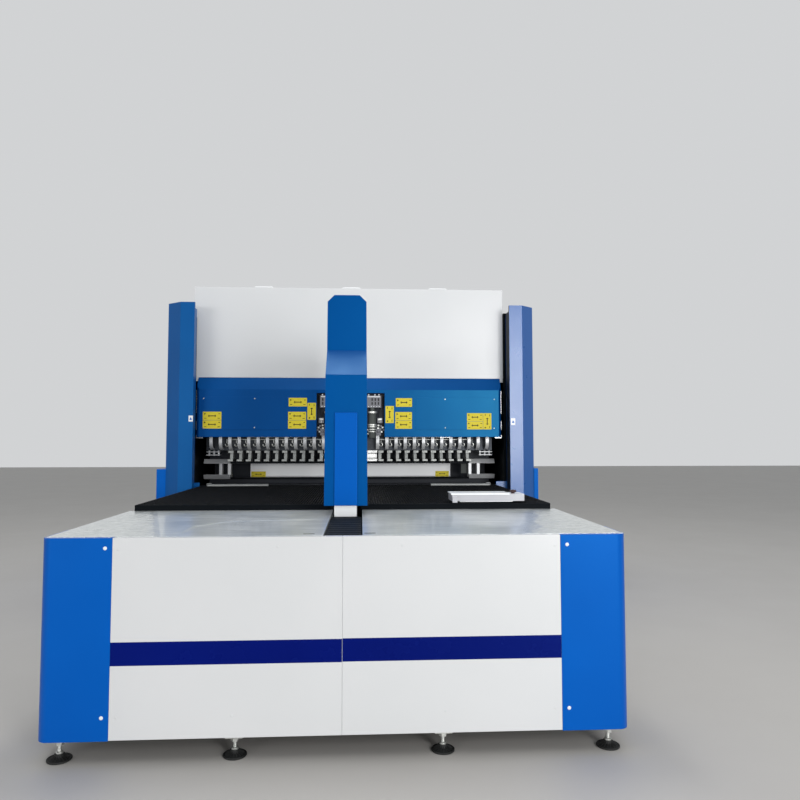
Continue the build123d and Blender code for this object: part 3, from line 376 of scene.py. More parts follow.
def screw(bm, place, toward, size, material=0):
    """A button head with a socket, standing on a face that looks along the given direction."""
    radius, height = size
    flip = -1 if toward[0] == "-" else 1
    lathe(bm, [(r * radius, flip * h * height) for r, h in button_head], place, toward[-1], 12, material)


def screws(bm, xs, ys, zs, toward, size, material=0):
    """Screws wherever the given x, y and z places cross; y counts from the machine's front."""
    for x in xs:
        for y in ys:
            for z in zs:
                screw(bm, (x, at(y), z), toward, size, material)


def rod(bm, path, radius, count=10, material=0):
    """A round bar along a list of points."""
    points = [Vector(p) for p in path]
    rings = []
    side = None
    for i, point in enumerate(points):
        ahead = points[min(i + 1, len(points) - 1)] - points[max(i - 1, 0)]
        ahead.normalize()
        if side is None:
            side = ahead.orthogonal().normalized()
        side = (side - ahead * side.dot(ahead)).normalized()
        over = ahead.cross(side)
        rings.append([bm.verts.new(point + radius * (math.cos(t) * side + math.sin(t) * over))
                      for t in [2 * math.pi * k / count for k in range(count)]])
    faces = [bm.faces.new(rings[0]), bm.faces.new(rings[-1])]
    for ring, following in zip(rings, rings[1:]):
        for k in range(count):
            m = (k + 1) % count
            faces.append(bm.faces.new((ring[k], ring[m], following[m], following[k])))
    closed(bm, faces, material)


def linked(name, data):
    """A new object in the scene."""
    made = bpy.data.objects.new(name, data)
    bpy.context.scene.collection.objects.link(made)
    return made


def softened(made, width, steps, angle):
    """Rounds an object's edges and keeps its flat faces flat in the shading."""
    soft = made.modifiers.new("soft_edges", "BEVEL")
    soft.width = width
    soft.segments = steps
    soft.limit_method = "ANGLE"
    soft.angle_limit = math.radians(angle)
    weighted = made.modifiers.new("weighted", "WEIGHTED_NORMAL")
    weighted.keep_sharp = True


def finished(name, bm, body, material, nodes=(), edge=0.0015, steps=2, angle=35):
    """An object from a bmesh with softened edges, riding on its body and standing for CAD nodes."""
    mesh = bpy.data.meshes.new(name)
    bm.to_mesh(mesh)
    bm.free()
    made = linked(name, mesh)
    for m in material if isinstance(material, (list, tuple)) else [material]:
        mesh.materials.append(m)
    mesh.shade_smooth()
    mesh.set_sharp_from_angle(angle=math.radians(angle))
    if edge:
        softened(made, edge, steps, angle)
    if body:
        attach(made, body)
    if nodes:
        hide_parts(*nodes)
        shown.update(nodes)
    return made


def from_node(node):
    """A bmesh of a CAD node, its triangles joined into plain faces."""
    bm = bmesh.new()
    bm.from_mesh(frame["nodes"][node].data)
    bmesh.ops.remove_doubles(bm, verts=bm.verts, dist=0.00002)
    bmesh.ops.dissolve_limit(bm, angle_limit=math.radians(0.6), verts=bm.verts, edges=bm.edges)
    return bm


def dressed(node, material=None, edge=0.0015, steps=2, bm=None):
    """A CAD node's own shape with softened edges and a better material."""
    return finished(node + "_dressed", bm or from_node(node), node_body[node],
                    material or slot_materials[node_slot[node]], [node], edge, steps)


def shifted(bm, picked, x=0.0, y=0.0, z=0.0):
    """Moves the points of a mesh that a test picks."""
    for vertex in bm.verts:
        if picked(vertex.co):
            vertex.co = (vertex.co.x + x, vertex.co.y + y, vertex.co.z + z)


def second_material(bm, picked):
    """Gives the faces that a test on face and middle picks the second material."""
    for face in bm.faces:
        if picked(face, face.calc_center_median()):
            face.material_index = 1


def banded(bm, heights, picked):
    """Cuts a painted band out of the picked faces of a mesh, as its second material."""
    for height in heights:
        bmesh.ops.bisect_plane(bm, geom=bm.verts[:] + bm.edges[:] + bm.faces[:],
                               plane_co=(0, 0, height), plane_no=(0, 0, 1), dist=0.00001)
    second_material(bm, lambda face, middle: picked(face, middle) and heights[0] < middle.z < heights[1])


# Base: white panels with a navy stripe, blue corner covers with a rounded fold, sides

cover_near, front_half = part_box("corner_cover_right")[0].x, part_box("corner_cover_right")[1].x
base_bottom, table_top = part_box("front_panel_left")[0].z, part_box("front_panel_left")[1].z
fold_half, fold_radius = front_half + 0.015, 0.05
side_half, rear_side_half = front_half + 0.009, 1.288
cover_length, return_depth, sheet = 0.3, 0.03, 0.003
stripe = (0.422, 0.525)
seam_shift = 0.0105
cap_dome = [(0.0, -0.0028), (0.004, -0.0027), (0.0068, -0.0021), (0.0084, -0.0008), (0.0086, 0.0), (0.0, 0.0)]
handle_path = [(0.004, 0.78), (0.02, 0.782), (0.027, 0.79), (0.027, 0.89), (0.02, 0.898), (0.004, 0.9)]


def corner_plan():
    """A corner cover from above: its front, the rounded fold, the long side and the folded inner edges."""
    plan = [(cover_near, 0.0)]
    for step in range(13):
        turn = math.radians(-90 + step * 7.5)
        plan.append((fold_half - fold_radius + fold_radius * math.cos(turn),
                     fold_radius + fold_radius * math.sin(turn)))
    return plan + [(fold_half, cover_length), (fold_half - 0.044, cover_length),
                   (fold_half - 0.044, return_depth + 0.04), (fold_half - 0.08, return_depth),
                   (cover_near, return_depth)]


def is_skin(face, side):
    """Whether a face of a corner cover is sheet: the outside, the top and the two folded edges."""
    look, middle = face.normal, face.calc_center_median()
    if abs(look.z) > 0.1:
        return look.z > 0.9
    outside = side * look.x > 0.01 and look.y < 0.01 or look.y < -0.01
    return outside or middle.y > at(cover_length - 0.001) or abs(middle.x) < cover_near + 0.001


for side, word in sides:
    bm = from_node("front_panel_" + word)
    shifted(bm, lambda p: abs(p.x) < 0.002, x=seam_shift)
    banded(bm, [z + side * 0.001 for z in stripe], lambda face, middle: middle.y < front_y + 0.0005)
    for x, z in ((0.281, 0.936), (0.984, 0.928), (0.476, 0.196), (0.979, 0.198)):
        screw(bm, (side * x, front_y, z), "-y", panel_screw)
    dressed("front_panel_" + word, [panel_white, navy], bm=bm, edge=0.0018, steps=3)

for side, word in sides:
    node = "corner_cover_" + word
    bm = bmesh.new()
    faces = prism(bm, [(side * x, at(y)) for x, y in corner_plan()], base_bottom - 0.004, table_top, "z")
    bmesh.ops.delete(bm, geom=[f for f in faces if not is_skin(f, side)], context="FACES")
    made = finished(node + "_fold", bm, "base", blue, [node], edge=0)
    shell = made.modifiers.new("sheet", "SOLIDIFY")
    shell.thickness = sheet
    shell.offset = -1
    shell.use_even_offset = True
    softened(made, 0.0018, 3, 40)
    bm = bmesh.new()
    for z in (0.199, 0.935):
        lathe(bm, cap_dome, (side * 1.0415, front_y, z), "y", 20)
        lathe(bm, [(r, -side * h) for r, h in cap_dome], (side * fold_half, at(0.24), z), "x", 20)
    finished(f"corner_caps_{word}", bm, "base", sign_white, edge=0)

bm = from_node("base_side_panels")
for side, word in sides:
    shifted(bm, lambda p: side * p.x > front_half - 0.001, x=side * (side_half - front_half))
banded(bm, stripe, lambda face, middle: abs(face.normal.x) > 0.9 and abs(middle.x) > rear_side_half - 0.003)
for side, word in sides:
    for half, places in ((side_half, (0.34, 0.74, 1.13)), (rear_side_half, (1.21, 1.98, 2.74))):
        screws(bm, [side * half], places, (0.14, 0.94), outward(side), panel_screw)
dressed("base_side_panels", [panel_white, navy], bm=bm)

bm = bmesh.new()
for side, word in sides:
    for half, y in ((side_half, 0.735), (rear_side_half, 1.595), (rear_side_half, 2.365)):
        for z in (handle_path[0][1], handle_path[-1][1]):
            stub(bm, 0.011, 0.006, side * 0.004, side * 0.006, (side * half, at(y), z), "x")
        rod(bm, [(side * (half + out), at(y), z) for out, z in handle_path], 0.0055)
finished("side_panel_handles", bm, "base", zinc, edge=0)


# Feet

pad_profile = [(0.0, 0.0), (0.0515, 0.0), (0.0535, 0.002), (0.0535, 0.0075), (0.051, 0.0095), (0.0475, 0.009),
               (0.045, 0.0075), (0.034, 0.0105), (0.0235, 0.0165), (0.0215, 0.021), (0.0205, 0.029),
               (0.0, 0.029)]
stem_foot = [(0.0, 0.028), (0.015, 0.028), (0.0165, 0.031), (0.0165, 0.036), (0.013, 0.039), (0.0085, 0.04)]
thread = [(0.0085 if k % 2 else 0.0098, 0.0405 + 0.00105 * k) for k in range(48)]
nut_radius, stem_plate_half = 0.0196, 0.039


def pad_centres():
    """The middle of each levelling pad, from the points of its sole."""
    soles = []
    for vertex in frame["nodes"]["leveling_pads"].data.vertices:
        if vertex.co.z < 0.0005:
            place = vertex.co.xy
            same = [sole for sole in soles if (sole[0] - place).length < 0.15]
            if same:
                same[0].append(place)
            else:
                soles.append([place])
    return [Vector([(min(c) + max(c)) / 2 for c in zip(*sole)]) for sole in soles]


def pad_rib(bm, foot, turn):
    """A small rib that falls from the pad's crown toward its rim."""
    out = Vector((math.cos(turn), math.sin(turn)))
    over = Vector((-out.y, out.x)) * 0.0016
    near, far = foot + out * 0.046, foot + out * 0.021
    corners = [(near - over, 0.008), (near + over, 0.008), (far + over, 0.024), (far - over, 0.024)]
    lows = [bm.verts.new((c.x, c.y, 0.006)) for c, top in corners]
    highs = [bm.verts.new((c.x, c.y, top)) for c, top in corners]
    faces = [bm.faces.new(lows), bm.faces.new(reversed(highs))]
    for i in range(4):
        faces.append(bm.faces.new((lows[(i + 1) % 4], lows[i], highs[i], highs[(i + 1) % 4])))
    closed(bm, faces)


bm, stems = bmesh.new(), bmesh.new()
for foot in pad_centres():
    spot = (foot.x, foot.y, 0.0)
    lathe(bm, pad_profile, spot, "z", 40)
    for k in range(16):
        pad_rib(bm, foot, 2 * math.pi * k / 16)
    lathe(stems, stem_foot + thread + [(0.0, 0.091)], spot, "z", 20)
    turns = [math.radians(a) for a in range(10, 370, 60)]
    prism(stems, [(foot.x + nut_radius * math.cos(t), foot.y + nut_radius * math.sin(t)) for t in turns],
          0.066, 0.08, "z")
    block(stems, (foot.x - stem_plate_half, foot.x + stem_plate_half),
          (depth(foot.y) - stem_plate_half, depth(foot.y) + stem_plate_half), (0.089, 0.0975))
finished("leveling_pads_ribbed", bm, "base", rubber, ["leveling_pads"], edge=0)
finished("leveling_stems_threaded", stems, "base", zinc, ["leveling_stems"], edge=0.0006)


# Table: filmed steel plates, brushes, bellows, strips

columns, rows = 190, 150
slot_shift, pleat_pitch, pleat_steps = 0.01, 0.075, 12
film_edge = [(-0.9, -0.05), (-0.756, 0.019), (-0.746, 0.389), (-0.615, 0.589), (-0.436, 0.63), (-0.15, 0.66)]
tray_rim, bed_drop = 0.006, 0.0125


def ridges(x, y, scale, seed):
    """Waves with sharp tops, from 0 to 1."""
    return 1 - abs(noise.noise(Vector((x * scale, y * scale * 1.4, seed))))


def crease(x, y):
    """How near a point of the left plate is to the rolled edge of its film, from 0 to 1."""
    nearest = 1.0
    for (x0, y0), (x1, y1) in zip(film_edge, film_edge[1:]):
        along = Vector((x1 - x0, y1 - y0))
        share = max(0.0, min(1.0, Vector((x - x0, depth(y) - y0)).dot(along) / along.length_squared))
        nearest = min(nearest, (Vector((x0, y0)) + along * share - Vector((x, depth(y)))).length)
    return max(0.0, 1.0 - nearest / 0.02)


def within_fold(reach, y):
    """Keeps a point of a plate inside the rounded corner of the base."""
    over = Vector((reach - fold_half + fold_radius, at(fold_radius) - y))
    if over.x > 0 and over.y > 0 and over.length > fold_radius - 0.003:
        over *= (fold_radius - 0.003) / over.length
        reach, y = fold_half - fold_radius + over.x, at(fold_radius) - over.y
    return reach, y


def film_height(x, y, side):
    """The relief of a plate: crumpled film outside, slow waves, streaks and the film's rolled edge."""
    loose = min(1.0, max(0.0, (abs(x) - film_slope * depth(y) - film_start) / 0.05))
    crumple = ridges(x, y, 8, side) ** 3 * 0.003 + ridges(x, y, 21, side + 5) ** 3 * 0.0012
    smooth = noise.noise(Vector((x * 1.8, y * 2.2, side * 3))) * 0.0006
    streak = ridges(x * 0.3, y, 5, side + 9) ** 12 * 0.0007
    rolled = crease(x, y) * 0.0022 if side < 0 else 0.0
    return loose * crumple + smooth + streak + rolled


def tuft(points, faces, x, y, root, limit):
    """A bundle of bristles: five-sided, wider at its top, leaning a little and ending in a point."""
    first = len(points)
    lean_x, lean_y = rng.uniform(-0.0022, 0.0022), rng.uniform(-0.0022, 0.0022)
    top = limit - rng.uniform(0.0, 0.0016)
    for radius, to_x, to_y, z in ((0.0035, x, y, root), (0.0052, x + lean_x, y + lean_y, top)):
        for k in range(5):
            turn = 2 * math.pi * k / 5
            points.append((to_x + radius * math.cos(turn), to_y + radius * math.sin(turn), z))
    points.append((x + lean_x, y + lean_y, min(limit, top + 0.0008)))
    for k in range(5):
        m = (k + 1) % 5
        faces.append((first + k, first + m, first + 5 + m, first + 5 + k))
        faces.append((first + 5 + k, first + 5 + m, first + 10))


for side, word in sides:
    node = "table_plate_" + word
    low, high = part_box(node)
    inner, outer = min(abs(low.x), abs(high.x)) + side * slot_shift, side_half - 0.002
    bm = bmesh.new()
    grid = [[] for i in range(columns + 1)]
    for i in range(columns + 1):
        for j in range(rows + 1):
            reach, y = within_fold(inner + (outer - inner) * i / columns, low.y + (high.y - low.y) * j / rows)
            rim = min(1.0, 10 * min(i, columns - i) / columns, 10 * min(j, rows - j) / rows)
            z = table_top + 0.0008 + rim * film_height(side * reach, y, side)
            grid[i].append(bm.verts.new((side * reach, y, z)))
    for i in range(columns):
        for j in range(rows):
            bm.faces.new((grid[i][j], grid[i + 1][j], grid[i + 1][j + 1], grid[i][j + 1]))
    border = ([grid[i][0] for i in range(columns)] + [grid[columns][j] for j in range(rows)]
              + [grid[i][rows] for i in range(columns, 0, -1)] + [grid[0][j] for j in range(rows, 0, -1)])
    under = [bm.verts.new((v.co.x, v.co.y, high.z - 0.004)) for v in border]
    for i in range(len(border)):
        j = (i + 1) % len(border)
        bm.faces.new((border[j], border[i], under[i], under[j]))
    bm.faces.new(under)
    block(bm, (side * inner, side * (inner + 0.004)), (depth(low.y), depth(high.y)),
          (high.z - 0.04, high.z - 0.004))
    bmesh.ops.recalc_face_normals(bm, faces=bm.faces)
    finished(node + "_film", bm, "base", plate_steel, [node], edge=0, angle=50)

bm = bmesh.new()
for x, y in ((-0.147, 0.077), (0.135, 0.088)):
    block(bm, (x - 0.026, x + 0.026), (y - 0.002, y + 0.002), (table_top - 0.0006, table_top + 0.0024))
finished("plate_slots", bm, "base", mark_black, edge=0)

for side, word in sides:
    node = "brush_table_" + word
    low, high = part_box(node)
    inner, outer = (low.x, high.x)[::side]
    near, far, bed = depth(low.y), depth(high.y), high.z - bed_drop
    bm = bmesh.new()
    block(bm, (inner, outer), (near, far), (low.z, bed))
    block(bm, (inner, outer), (near, near + tray_rim), (bed, high.z - 0.0015))
    for edge, inward in ((outer, -side), (inner, side)):
        block(bm, (edge, edge + inward * tray_rim), (near + tray_rim, far), (bed, high.z - 0.0015))
    finished(f"brush_tray_{word}", bm, "base", black_coat, [node], edge=0.001)
    points, faces = [], []
    y = low.y + tray_rim + 0.009
    while y < high.y - 0.006:
        for step in (0, 0.014, 0.028):
            x = abs(inner) + tray_rim + 0.008
            while x < abs(outer) - tray_rim - 0.006:
                tuft(points, faces, side * x, y + step, bed, high.z)
                x += 0.0165
        y += 0.048
    mesh = bpy.data.meshes.new(f"brush_tufts_{word}")
    mesh.from_pydata(points, [], faces)
    mesh.materials.append(brush_black)
    tufts = linked(f"brush_tufts_{word}", mesh)
    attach(tufts, "base")

for word in ("front", "rear"):
    node = "slot_bellows_" + word
    low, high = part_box(node)
    count = round((high.y - low.y) / pleat_pitch) * pleat_steps
    bm = bmesh.new()
    lines = []
    for i in range(count + 1):
        y = low.y + (high.y - low.y) * i / count
        wave = abs(math.sin(math.pi * i / pleat_steps)) ** 0.7
        lines.append([])
        for j in range(13):
            x = low.x + (high.x - low.x) * j / 12
            edge = max(0.0, abs(x) / high.x - 0.8) / 0.2
            z = high.z - 0.0105 + 0.0095 * wave - edge * edge * 0.003
            lines[i].append(bm.verts.new((x + slot_shift, y, z)))
    for first, second in zip(lines, lines[1:]):
        for j in range(12):
            bm.faces.new((first[j], first[j + 1], second[j + 1], second[j]))
    bmesh.ops.solidify(bm, geom=bm.faces[:], thickness=0.0012)
    bmesh.ops.recalc_face_normals(bm, faces=bm.faces)
    made = finished(node + "_folds", bm, None, bellows_cloth, [node], edge=0, angle=80)
    if word == "front":
        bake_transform(made)
    else:
        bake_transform(made)

bar_low, bar_high = 0.9745, 0.9775
for name, body, half, y, toward in (
        ("bellows_bar_front", "base", 0.082, depth(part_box("slot_bellows_front")[0].y), 1),
        ("bellows_bar_rear", "base", 0.082, depth(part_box("slot_bellows_rear")[1].y), -1),
        ("bellows_bar_arm", "manipulator", 0.066, depth(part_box("slot_bellows_rear")[0].y), 1)):
    bm = bmesh.new()
    block(bm, (-half, half), (y, y + toward * 0.02), (bar_low, bar_high))
    screws(bm, (-0.05, 0.05), [y + toward * 0.01], [bar_high], "z", small_screw)
    finished(name, bm, body, black_coat, edge=0.0006)

bm = from_node("sheet_support_rails")
rail_low, rail_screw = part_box("sheet_support_rails")[0], (0.004, 0.0015)
rail_stop = [(0.016, 1.0166), (0.056, 1.0166), (0.05, 1.034), (0.026, 1.04), (0.016, 1.036)]
for side, word in sides:
    prism(bm, [(rail_low.y + y, z) for y, z in rail_stop], side * 1.208 - 0.0165, side * 1.208 + 0.0165)
    for k in range(6):
        screw(bm, (side * (0.74 + 0.085 * k), rail_low.y + 0.008, rail_low.z + 0.016), "z", rail_screw)
shifted(bm, lambda p: p.y < at(2.857) and 1.03 < p.z < 1.034, z=-0.0075)
dressed("sheet_support_rails", rail_steel, bm=bm, edge=0.001)


# Manipulator

arm_shift = 0.005
bm = from_node("manipulator_frame")
shifted(bm, lambda p: -0.1 <= p.x < -0.06 and p.y < at(0.9), x=0.006)
shifted(bm, lambda p: abs(p.x) > 0.1, x=arm_shift)
# Painted light: the manipulator frame takes the brightened white
dressed("manipulator_frame", white_with_painted_light, bm=bm, edge=0.003, steps=3)
bm = from_node("manipulator_cover")
shifted(bm, lambda p: True, x=arm_shift)
shifted(bm, lambda p: p.z > 2.1, z=0.007)
shifted(bm, lambda p: p.z < 1.06, z=-0.006)
dressed("manipulator_cover", arm_blue, bm=bm, edge=0.004, steps=3)
bm = from_node("access_cover")
shifted(bm, lambda p: True, x=arm_shift)
shifted(bm, lambda p: p.z < 1.06, z=-0.008)
dressed("access_cover", blue, bm=bm, edge=0.0035, steps=3)
bm = bmesh.new()
screws(bm, (arm_shift - 0.056, arm_shift + 0.056), [0.835], (1.075, 1.31, 1.545), "-y", access_screw)
finished("access_screws", bm, "manipulator", blue, edge=0)


# Side gauge

gauge_front, gauge_rear, gauge_top = 1.19, 1.36, 1.0769
lid_under = gauge_top - 0.006
bm = bmesh.new()
block(bm, (0.665, 1.127), (gauge_front, gauge_rear), (1.0279, lid_under))
prism(bm, side_view([(1.184, gauge_top), (1.184, 1.0685), (1.187, 1.0685), (1.187, lid_under),
                     (gauge_rear, lid_under), (gauge_rear, gauge_top)]), 0.659, 1.031)
prism(bm, side_view([(gauge_front, 1.0579), (1.166, 1.0579), (1.166, 1.0215), (1.172, 1.0195),
                     (gauge_front, 1.0279)]), 0.667, 0.697)
screws(bm, (0.72, 0.86, 1.0, 1.11), [gauge_front], [1.052], "-y", small_screw)
screws(bm, (0.7, 0.84, 0.98), [1.3], [gauge_top], "z", lid_screw)
# Painted light and shade: the gauge's top faces take the brightened white, its other faces the grey copy
second_material(bm, lambda face, middle: face.normal.z > 0.9 or middle.z > 1.071)
dressed("side_gauge", [shaded_gauge_white, white_with_painted_light], bm=bm, edge=0.0012)

knob_x, knob_y = 1.067, at(1.25)
knob_profile = [(0.0, 1.0712), (0.0105, 1.0712), (0.0105, 1.0755), (0.0165, 1.0775), (0.0195, 1.0815),
                (0.0195, 1.089), (0.0165, 1.0932), (0.0095, 1.0946), (0.0085, 1.0935), (0.0, 1.0932)]
bm = bmesh.new()
lathe(bm, knob_profile, (knob_x, knob_y, 0.0), "z", 32)
for k in range(12):
    turn = 2 * math.pi * k / 12
    lathe(bm, [(0.0, 1.0785), (0.0032, 1.0795), (0.0032, 1.091), (0.0, 1.0925)],
          (knob_x + 0.0178 * math.cos(turn), knob_y + 0.0178 * math.sin(turn), 0.0), "z", 8)
dressed("gauge_knob", knob_plastic, bm=bm, edge=0)
dressed("gauge_rail", ground_steel, edge=0.0008)


# Press beam covers with their plates, screws and generic yellow labels

cover_face = depth(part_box("beam_cover_left")[0].y)
plate_face = cover_face - 0.0022
labels = {
    "left": [((-1.287, -1.126), (1.584, 1.657), False), ((-1.287, -1.126), (1.51, 1.582), False),
             ((-0.544, -0.384), (1.705, 1.781), False), ((-0.548, -0.39), (1.584, 1.658), False),
             ((-0.548, -0.39), (1.509, 1.582), False), ((-0.38, -0.305), (1.587, 1.737), True)],
    "right": [((0.308, 0.382), (1.56, 1.711), True), ((0.4, 0.544), (1.704, 1.781), False),
              ((0.395, 0.543), (1.584, 1.658), False), ((0.395, 0.543), (1.509, 1.582), False),
              ((1.035, 1.178), (1.577, 1.649), False), ((1.035, 1.178), (1.504, 1.575), False),
              ((1.18, 1.254), (1.504, 1.649), True)],
}


def label(bm, xs, y, zs, upright=False):
    """A yellow plate with generic marks: a two-way arrow, a plus and a minus, and two short dashes."""
    plate(bm, xs, y, zs, 0.0012, 0.003, 0)
    (x0, x1), (z0, z1) = sorted(xs), sorted(zs)
    long, across = (z1 - z0, x1 - x0) if upright else (x1 - x0, z1 - z0)
    middle_x, middle_z = (x0 + x1) / 2, (z0 + z1) / 2

    def mark(points):
        turned = [(-v, u) if upright else (u, v) for u, v in points]
        prism(bm, [(middle_x + u, middle_z + v) for u, v in turned], at(y) - 0.0018, at(y) - 0.001, "y", 1)

    def dash(u, v, half_long, half_wide):
        mark([(u - half_long, v - half_wide), (u + half_long, v - half_wide),
              (u + half_long, v + half_wide), (u - half_long, v + half_wide)])

    h, w = across * 0.5, long * 0.5
    shaft, head = h * 0.09, h * 0.34
    over = [(-w * 0.3, head), (-w * 0.3, shaft), (w * 0.3, shaft), (w * 0.3, head)]
    mark([(-w * 0.44, 0)] + over + [(w * 0.44, 0)] + [(u, -v) for u, v in over[::-1]])
    arm, thin = h * 0.2, h * 0.065
    dash(-w * 0.78, h * 0.5, arm, thin)
    dash(-w * 0.78, h * 0.5, thin, arm)
    dash(w * 0.78, h * 0.5, arm, thin)
    for start in (-0.84, 0.6):
        dash(w * (start + 0.12), -h * 0.56, w * 0.12, h * 0.06)


for side, word in sides:
    bm = from_node("beam_cover_" + word)
    # Painted shade: the upward-sloping band of each beam cover takes the dark-reflecting copy
    second_material(bm, lambda face, middle: face.normal.y < -0.2 and face.normal.z > 0.2)
    # The right side takes the lighter copy with the painted sheen
    face_blue = beam_sheen if side > 0 else beam_blue
    dressed("beam_cover_" + word, [face_blue, shaded_shoulder_blue], bm=bm, edge=0.003, steps=3)
    bm = bmesh.new()
    plate(bm, (side * 0.575, side * 1.296), cover_face, (1.5, 1.788), 0.0022, 0.006)
    finished(f"beam_plate_{word}", bm, "press_beam", face_blue, edge=0.0008)
    bm = bmesh.new()
    for x, z in ((0.84, 1.772), (0.84, 1.518), (1.282, 1.772), (1.278, 1.514)):
        screw(bm, (side * x, at(plate_face), z), "-y", plate_screw)
    finished(f"beam_plate_screws_{word}", bm, "press_beam", zinc, edge=0)
    bm = bmesh.new()
    for xs, zs, upright in labels[word]:
        label(bm, xs, plate_face if abs(xs[0]) > 0.6 else cover_face, zs, upright)
    finished(f"beam_labels_{word}", bm, "press_beam", [yellow, mark_black], edge=0)
dressed("beam_end_brackets", nickel, edge=0.001)
dressed("press_beam", enamel, edge=0.003)
dressed("tool_rail", dark_steel, edge=0.002)
bm = from_node("side_frame_right")
shifted(bm, lambda p: abs(p.x - 1.365) < 0.002, x=0.011)
dressed("side_frame_right", black_coat, bm=bm, edge=0.003)
dressed("side_frame_left", black_coat, edge=0.003)
# Blocks that raise the side frames' front tops; their black coat also stands in for the deep shade beside the
# columns, painted shade
bm = bmesh.new()
for side, word in sides:
    block(bm, (side * 1.378, side * 1.425), (3.0, 3.14), (2.495, 2.56))
finished("frame_caps", bm, "base", black_coat, edge=0.004)
bm = bmesh.new()
for xs, near, zs in (((1.19, 1.305), 3.03, (1.437, 1.447)), ((1.285, 1.305), 3.03, (1.4455, 1.478)),
                     ((0.8, 0.89), 3.025, (1.43, 1.447)), ((0.33, 0.41), 3.03, (1.441, 1.4455)),
                     ((-0.395, -0.3), 3.03, (1.441, 1.4455)), ((-0.58, -0.545), 3.025, (1.428, 1.447))):
    block(bm, xs, (near, 3.05), zs)
finished("beam_lower_clips", bm, "press_beam", nickel, edge=0.001)


# Drives in the notch

notch_back, motor_face, motor_low, motor_high = 3.02, 2.962, 1.697, 1.804
rod_heights = (1.464, 1.498)
cylinder_profile = [(0.0, 1.43), (0.03, 1.43), (0.034, 1.51), (0.034, 1.66), (0.02, 1.668), (0.02, motor_low),
                    (0.0, motor_low)]
cylinder_rings = ((1.478, 1.488, 0.039), (1.498, 1.508, 0.039), (1.52, 1.533, 0.04), (1.536, 1.551, 0.04),
                  (1.645, 1.664, 0.04))
fittings = ((0.248, 1.54), (0.27, 1.535), (0.245, 1.515), (0.268, 1.51), (0.285, 1.522), (0.25, 1.49),
            (0.275, 1.484), (0.292, 1.5))
cables = ([(0.27, 3.0, 1.6), (0.288, 2.99, 1.585), (0.292, 2.99, 1.54), (0.286, 3.0, 1.525)],
          [(0.252, 3.0, 1.606), (0.25, 2.99, 1.64), (0.262, 2.99, 1.68), (0.268, 3.0, motor_low)])


def motor(bm, side):
    """A motor block with its dark vents, a light strip, screws and connectors on top."""
    block(bm, (side * 0.14, side * 0.27), (motor_face, notch_back), (motor_low, motor_high), 0)
    for x in (0.19, 0.218, 0.246):
        for z in (1.722, 1.756):
            block(bm, (side * (x - 0.005), side * (x + 0.005)), (2.9585, 2.9625), (z, z + 0.024), 1)
    block(bm, (side * 0.15, side * 0.262), (2.9582, 2.963), (1.789, 1.797), 2)
    screws(bm, [side * (0.158 + 0.024 * k) for k in range(5)], [motor_face], [1.706], "-y", motor_screw, 2)
    for x in (0.16, 0.215, 0.25):
        stub(bm, 0.007, 0.0045, 0.012, 0.014, (side * x, at(2.985), motor_high), "z", 14, 2)


def cylinder(bm, side):
    """A drive cylinder with its rings, a valve block, small fittings and two cables."""
    centre = (side * 0.193, at(2.978), 0.0)
    lathe(bm, cylinder_profile, centre, "z", 36, 0)
    for low, high, radius in cylinder_rings:
        lathe(bm, [(0.03, low), (radius - 0.002, low), (radius, low + 0.002), (radius, high - 0.002),
                   (radius - 0.002, high), (0.03, high)], centre, "z", 36, 1)
    block(bm, (side * 0.237, side * 0.282), (2.982, notch_back), (1.56, 1.606), 2)
    block(bm, (side * 0.243, side * 0.276), (2.9795, 2.983), (1.586, 1.601), 1)
    for z in (1.566, 1.576):
        stub(bm, 0.0045, 0.003, -0.006, -0.007, (side * 0.26, at(2.982), z), "y", 12, 1)
    for k, (x, z) in enumerate(fittings):
        block(bm, (side * (x - 0.008), side * (x + 0.008)), (3.0 - 0.004 * (k % 3), notch_back),
              (z - 0.008, z + 0.007), 1 + k % 2)
    for path in cables:
        rod(bm, [(side * x, at(y), z) for x, y, z in path], 0.003, 8, 3)


motors, cylinders = bmesh.new(), bmesh.new()
for side, word in sides:
    motor(motors, side)
    cylinder(cylinders, side)
for z in rod_heights:
    disc(cylinders, 0.0095, -0.27, 0.27, (0.0, at(3.01), z), "x", 20, 1)
for side, word in sides:
    for z in rod_heights:
        block(cylinders, (side * 0.225, side * 0.27), (2.996, notch_back), (z - 0.014, z + 0.014), 2)
finished("drive_motors", motors, "press_beam", [grey_plastic, mark_black, sign_white],
         ["tool_drives"], edge=0.001)
finished("drive_cylinders", cylinders, "press_beam",
         [cast_grey, zinc, grey_plastic, mark_black], edge=0.0008)


# Hooks, tool segments, centre tools

tool_first, tool_pitch, tool_half = 0.273, 0.0795, 0.0225
hook_first, hook_pitch, hook_half = 0.242, 0.0825, 0.0145
hook_bend, inner_bend = 1.392, 1.396
hook_low, hook_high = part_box("tool_hooks")
hook_y = depth(hook_low.y)
rail_front = depth(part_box("tool_rail")[0].y)


def claw_outline():
    """The curved side view of a hook: down its front, round under the rail and back along the inside."""
    outer = [(hook_y, hook_high.z), (hook_y, hook_bend)]
    inner = [(hook_y + 0.012, hook_high.z), (hook_y + 0.013, inner_bend)]
    for k in range(1, 9):
        turn = math.radians(k * 10.6)
        outer.append((hook_y + 0.078 * (1 - math.cos(turn)), hook_bend - 0.07 * math.sin(turn)))
        inner.append((hook_y + 0.013 + 0.062 * (1 - math.cos(turn)), inner_bend - 0.057 * math.sin(turn)))
    outer.append((rail_front, 1.3215))
    inner.append((rail_front, 1.3335))
    return [(at(y), max(z, hook_low.z)) for y, z in outer + inner[::-1]]


def tool_sizes(node):
    """The front, back, bottom and top of a row of clamping tools."""
    low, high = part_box(node)
    return depth(low.y), depth(high.y), low.z, high.z


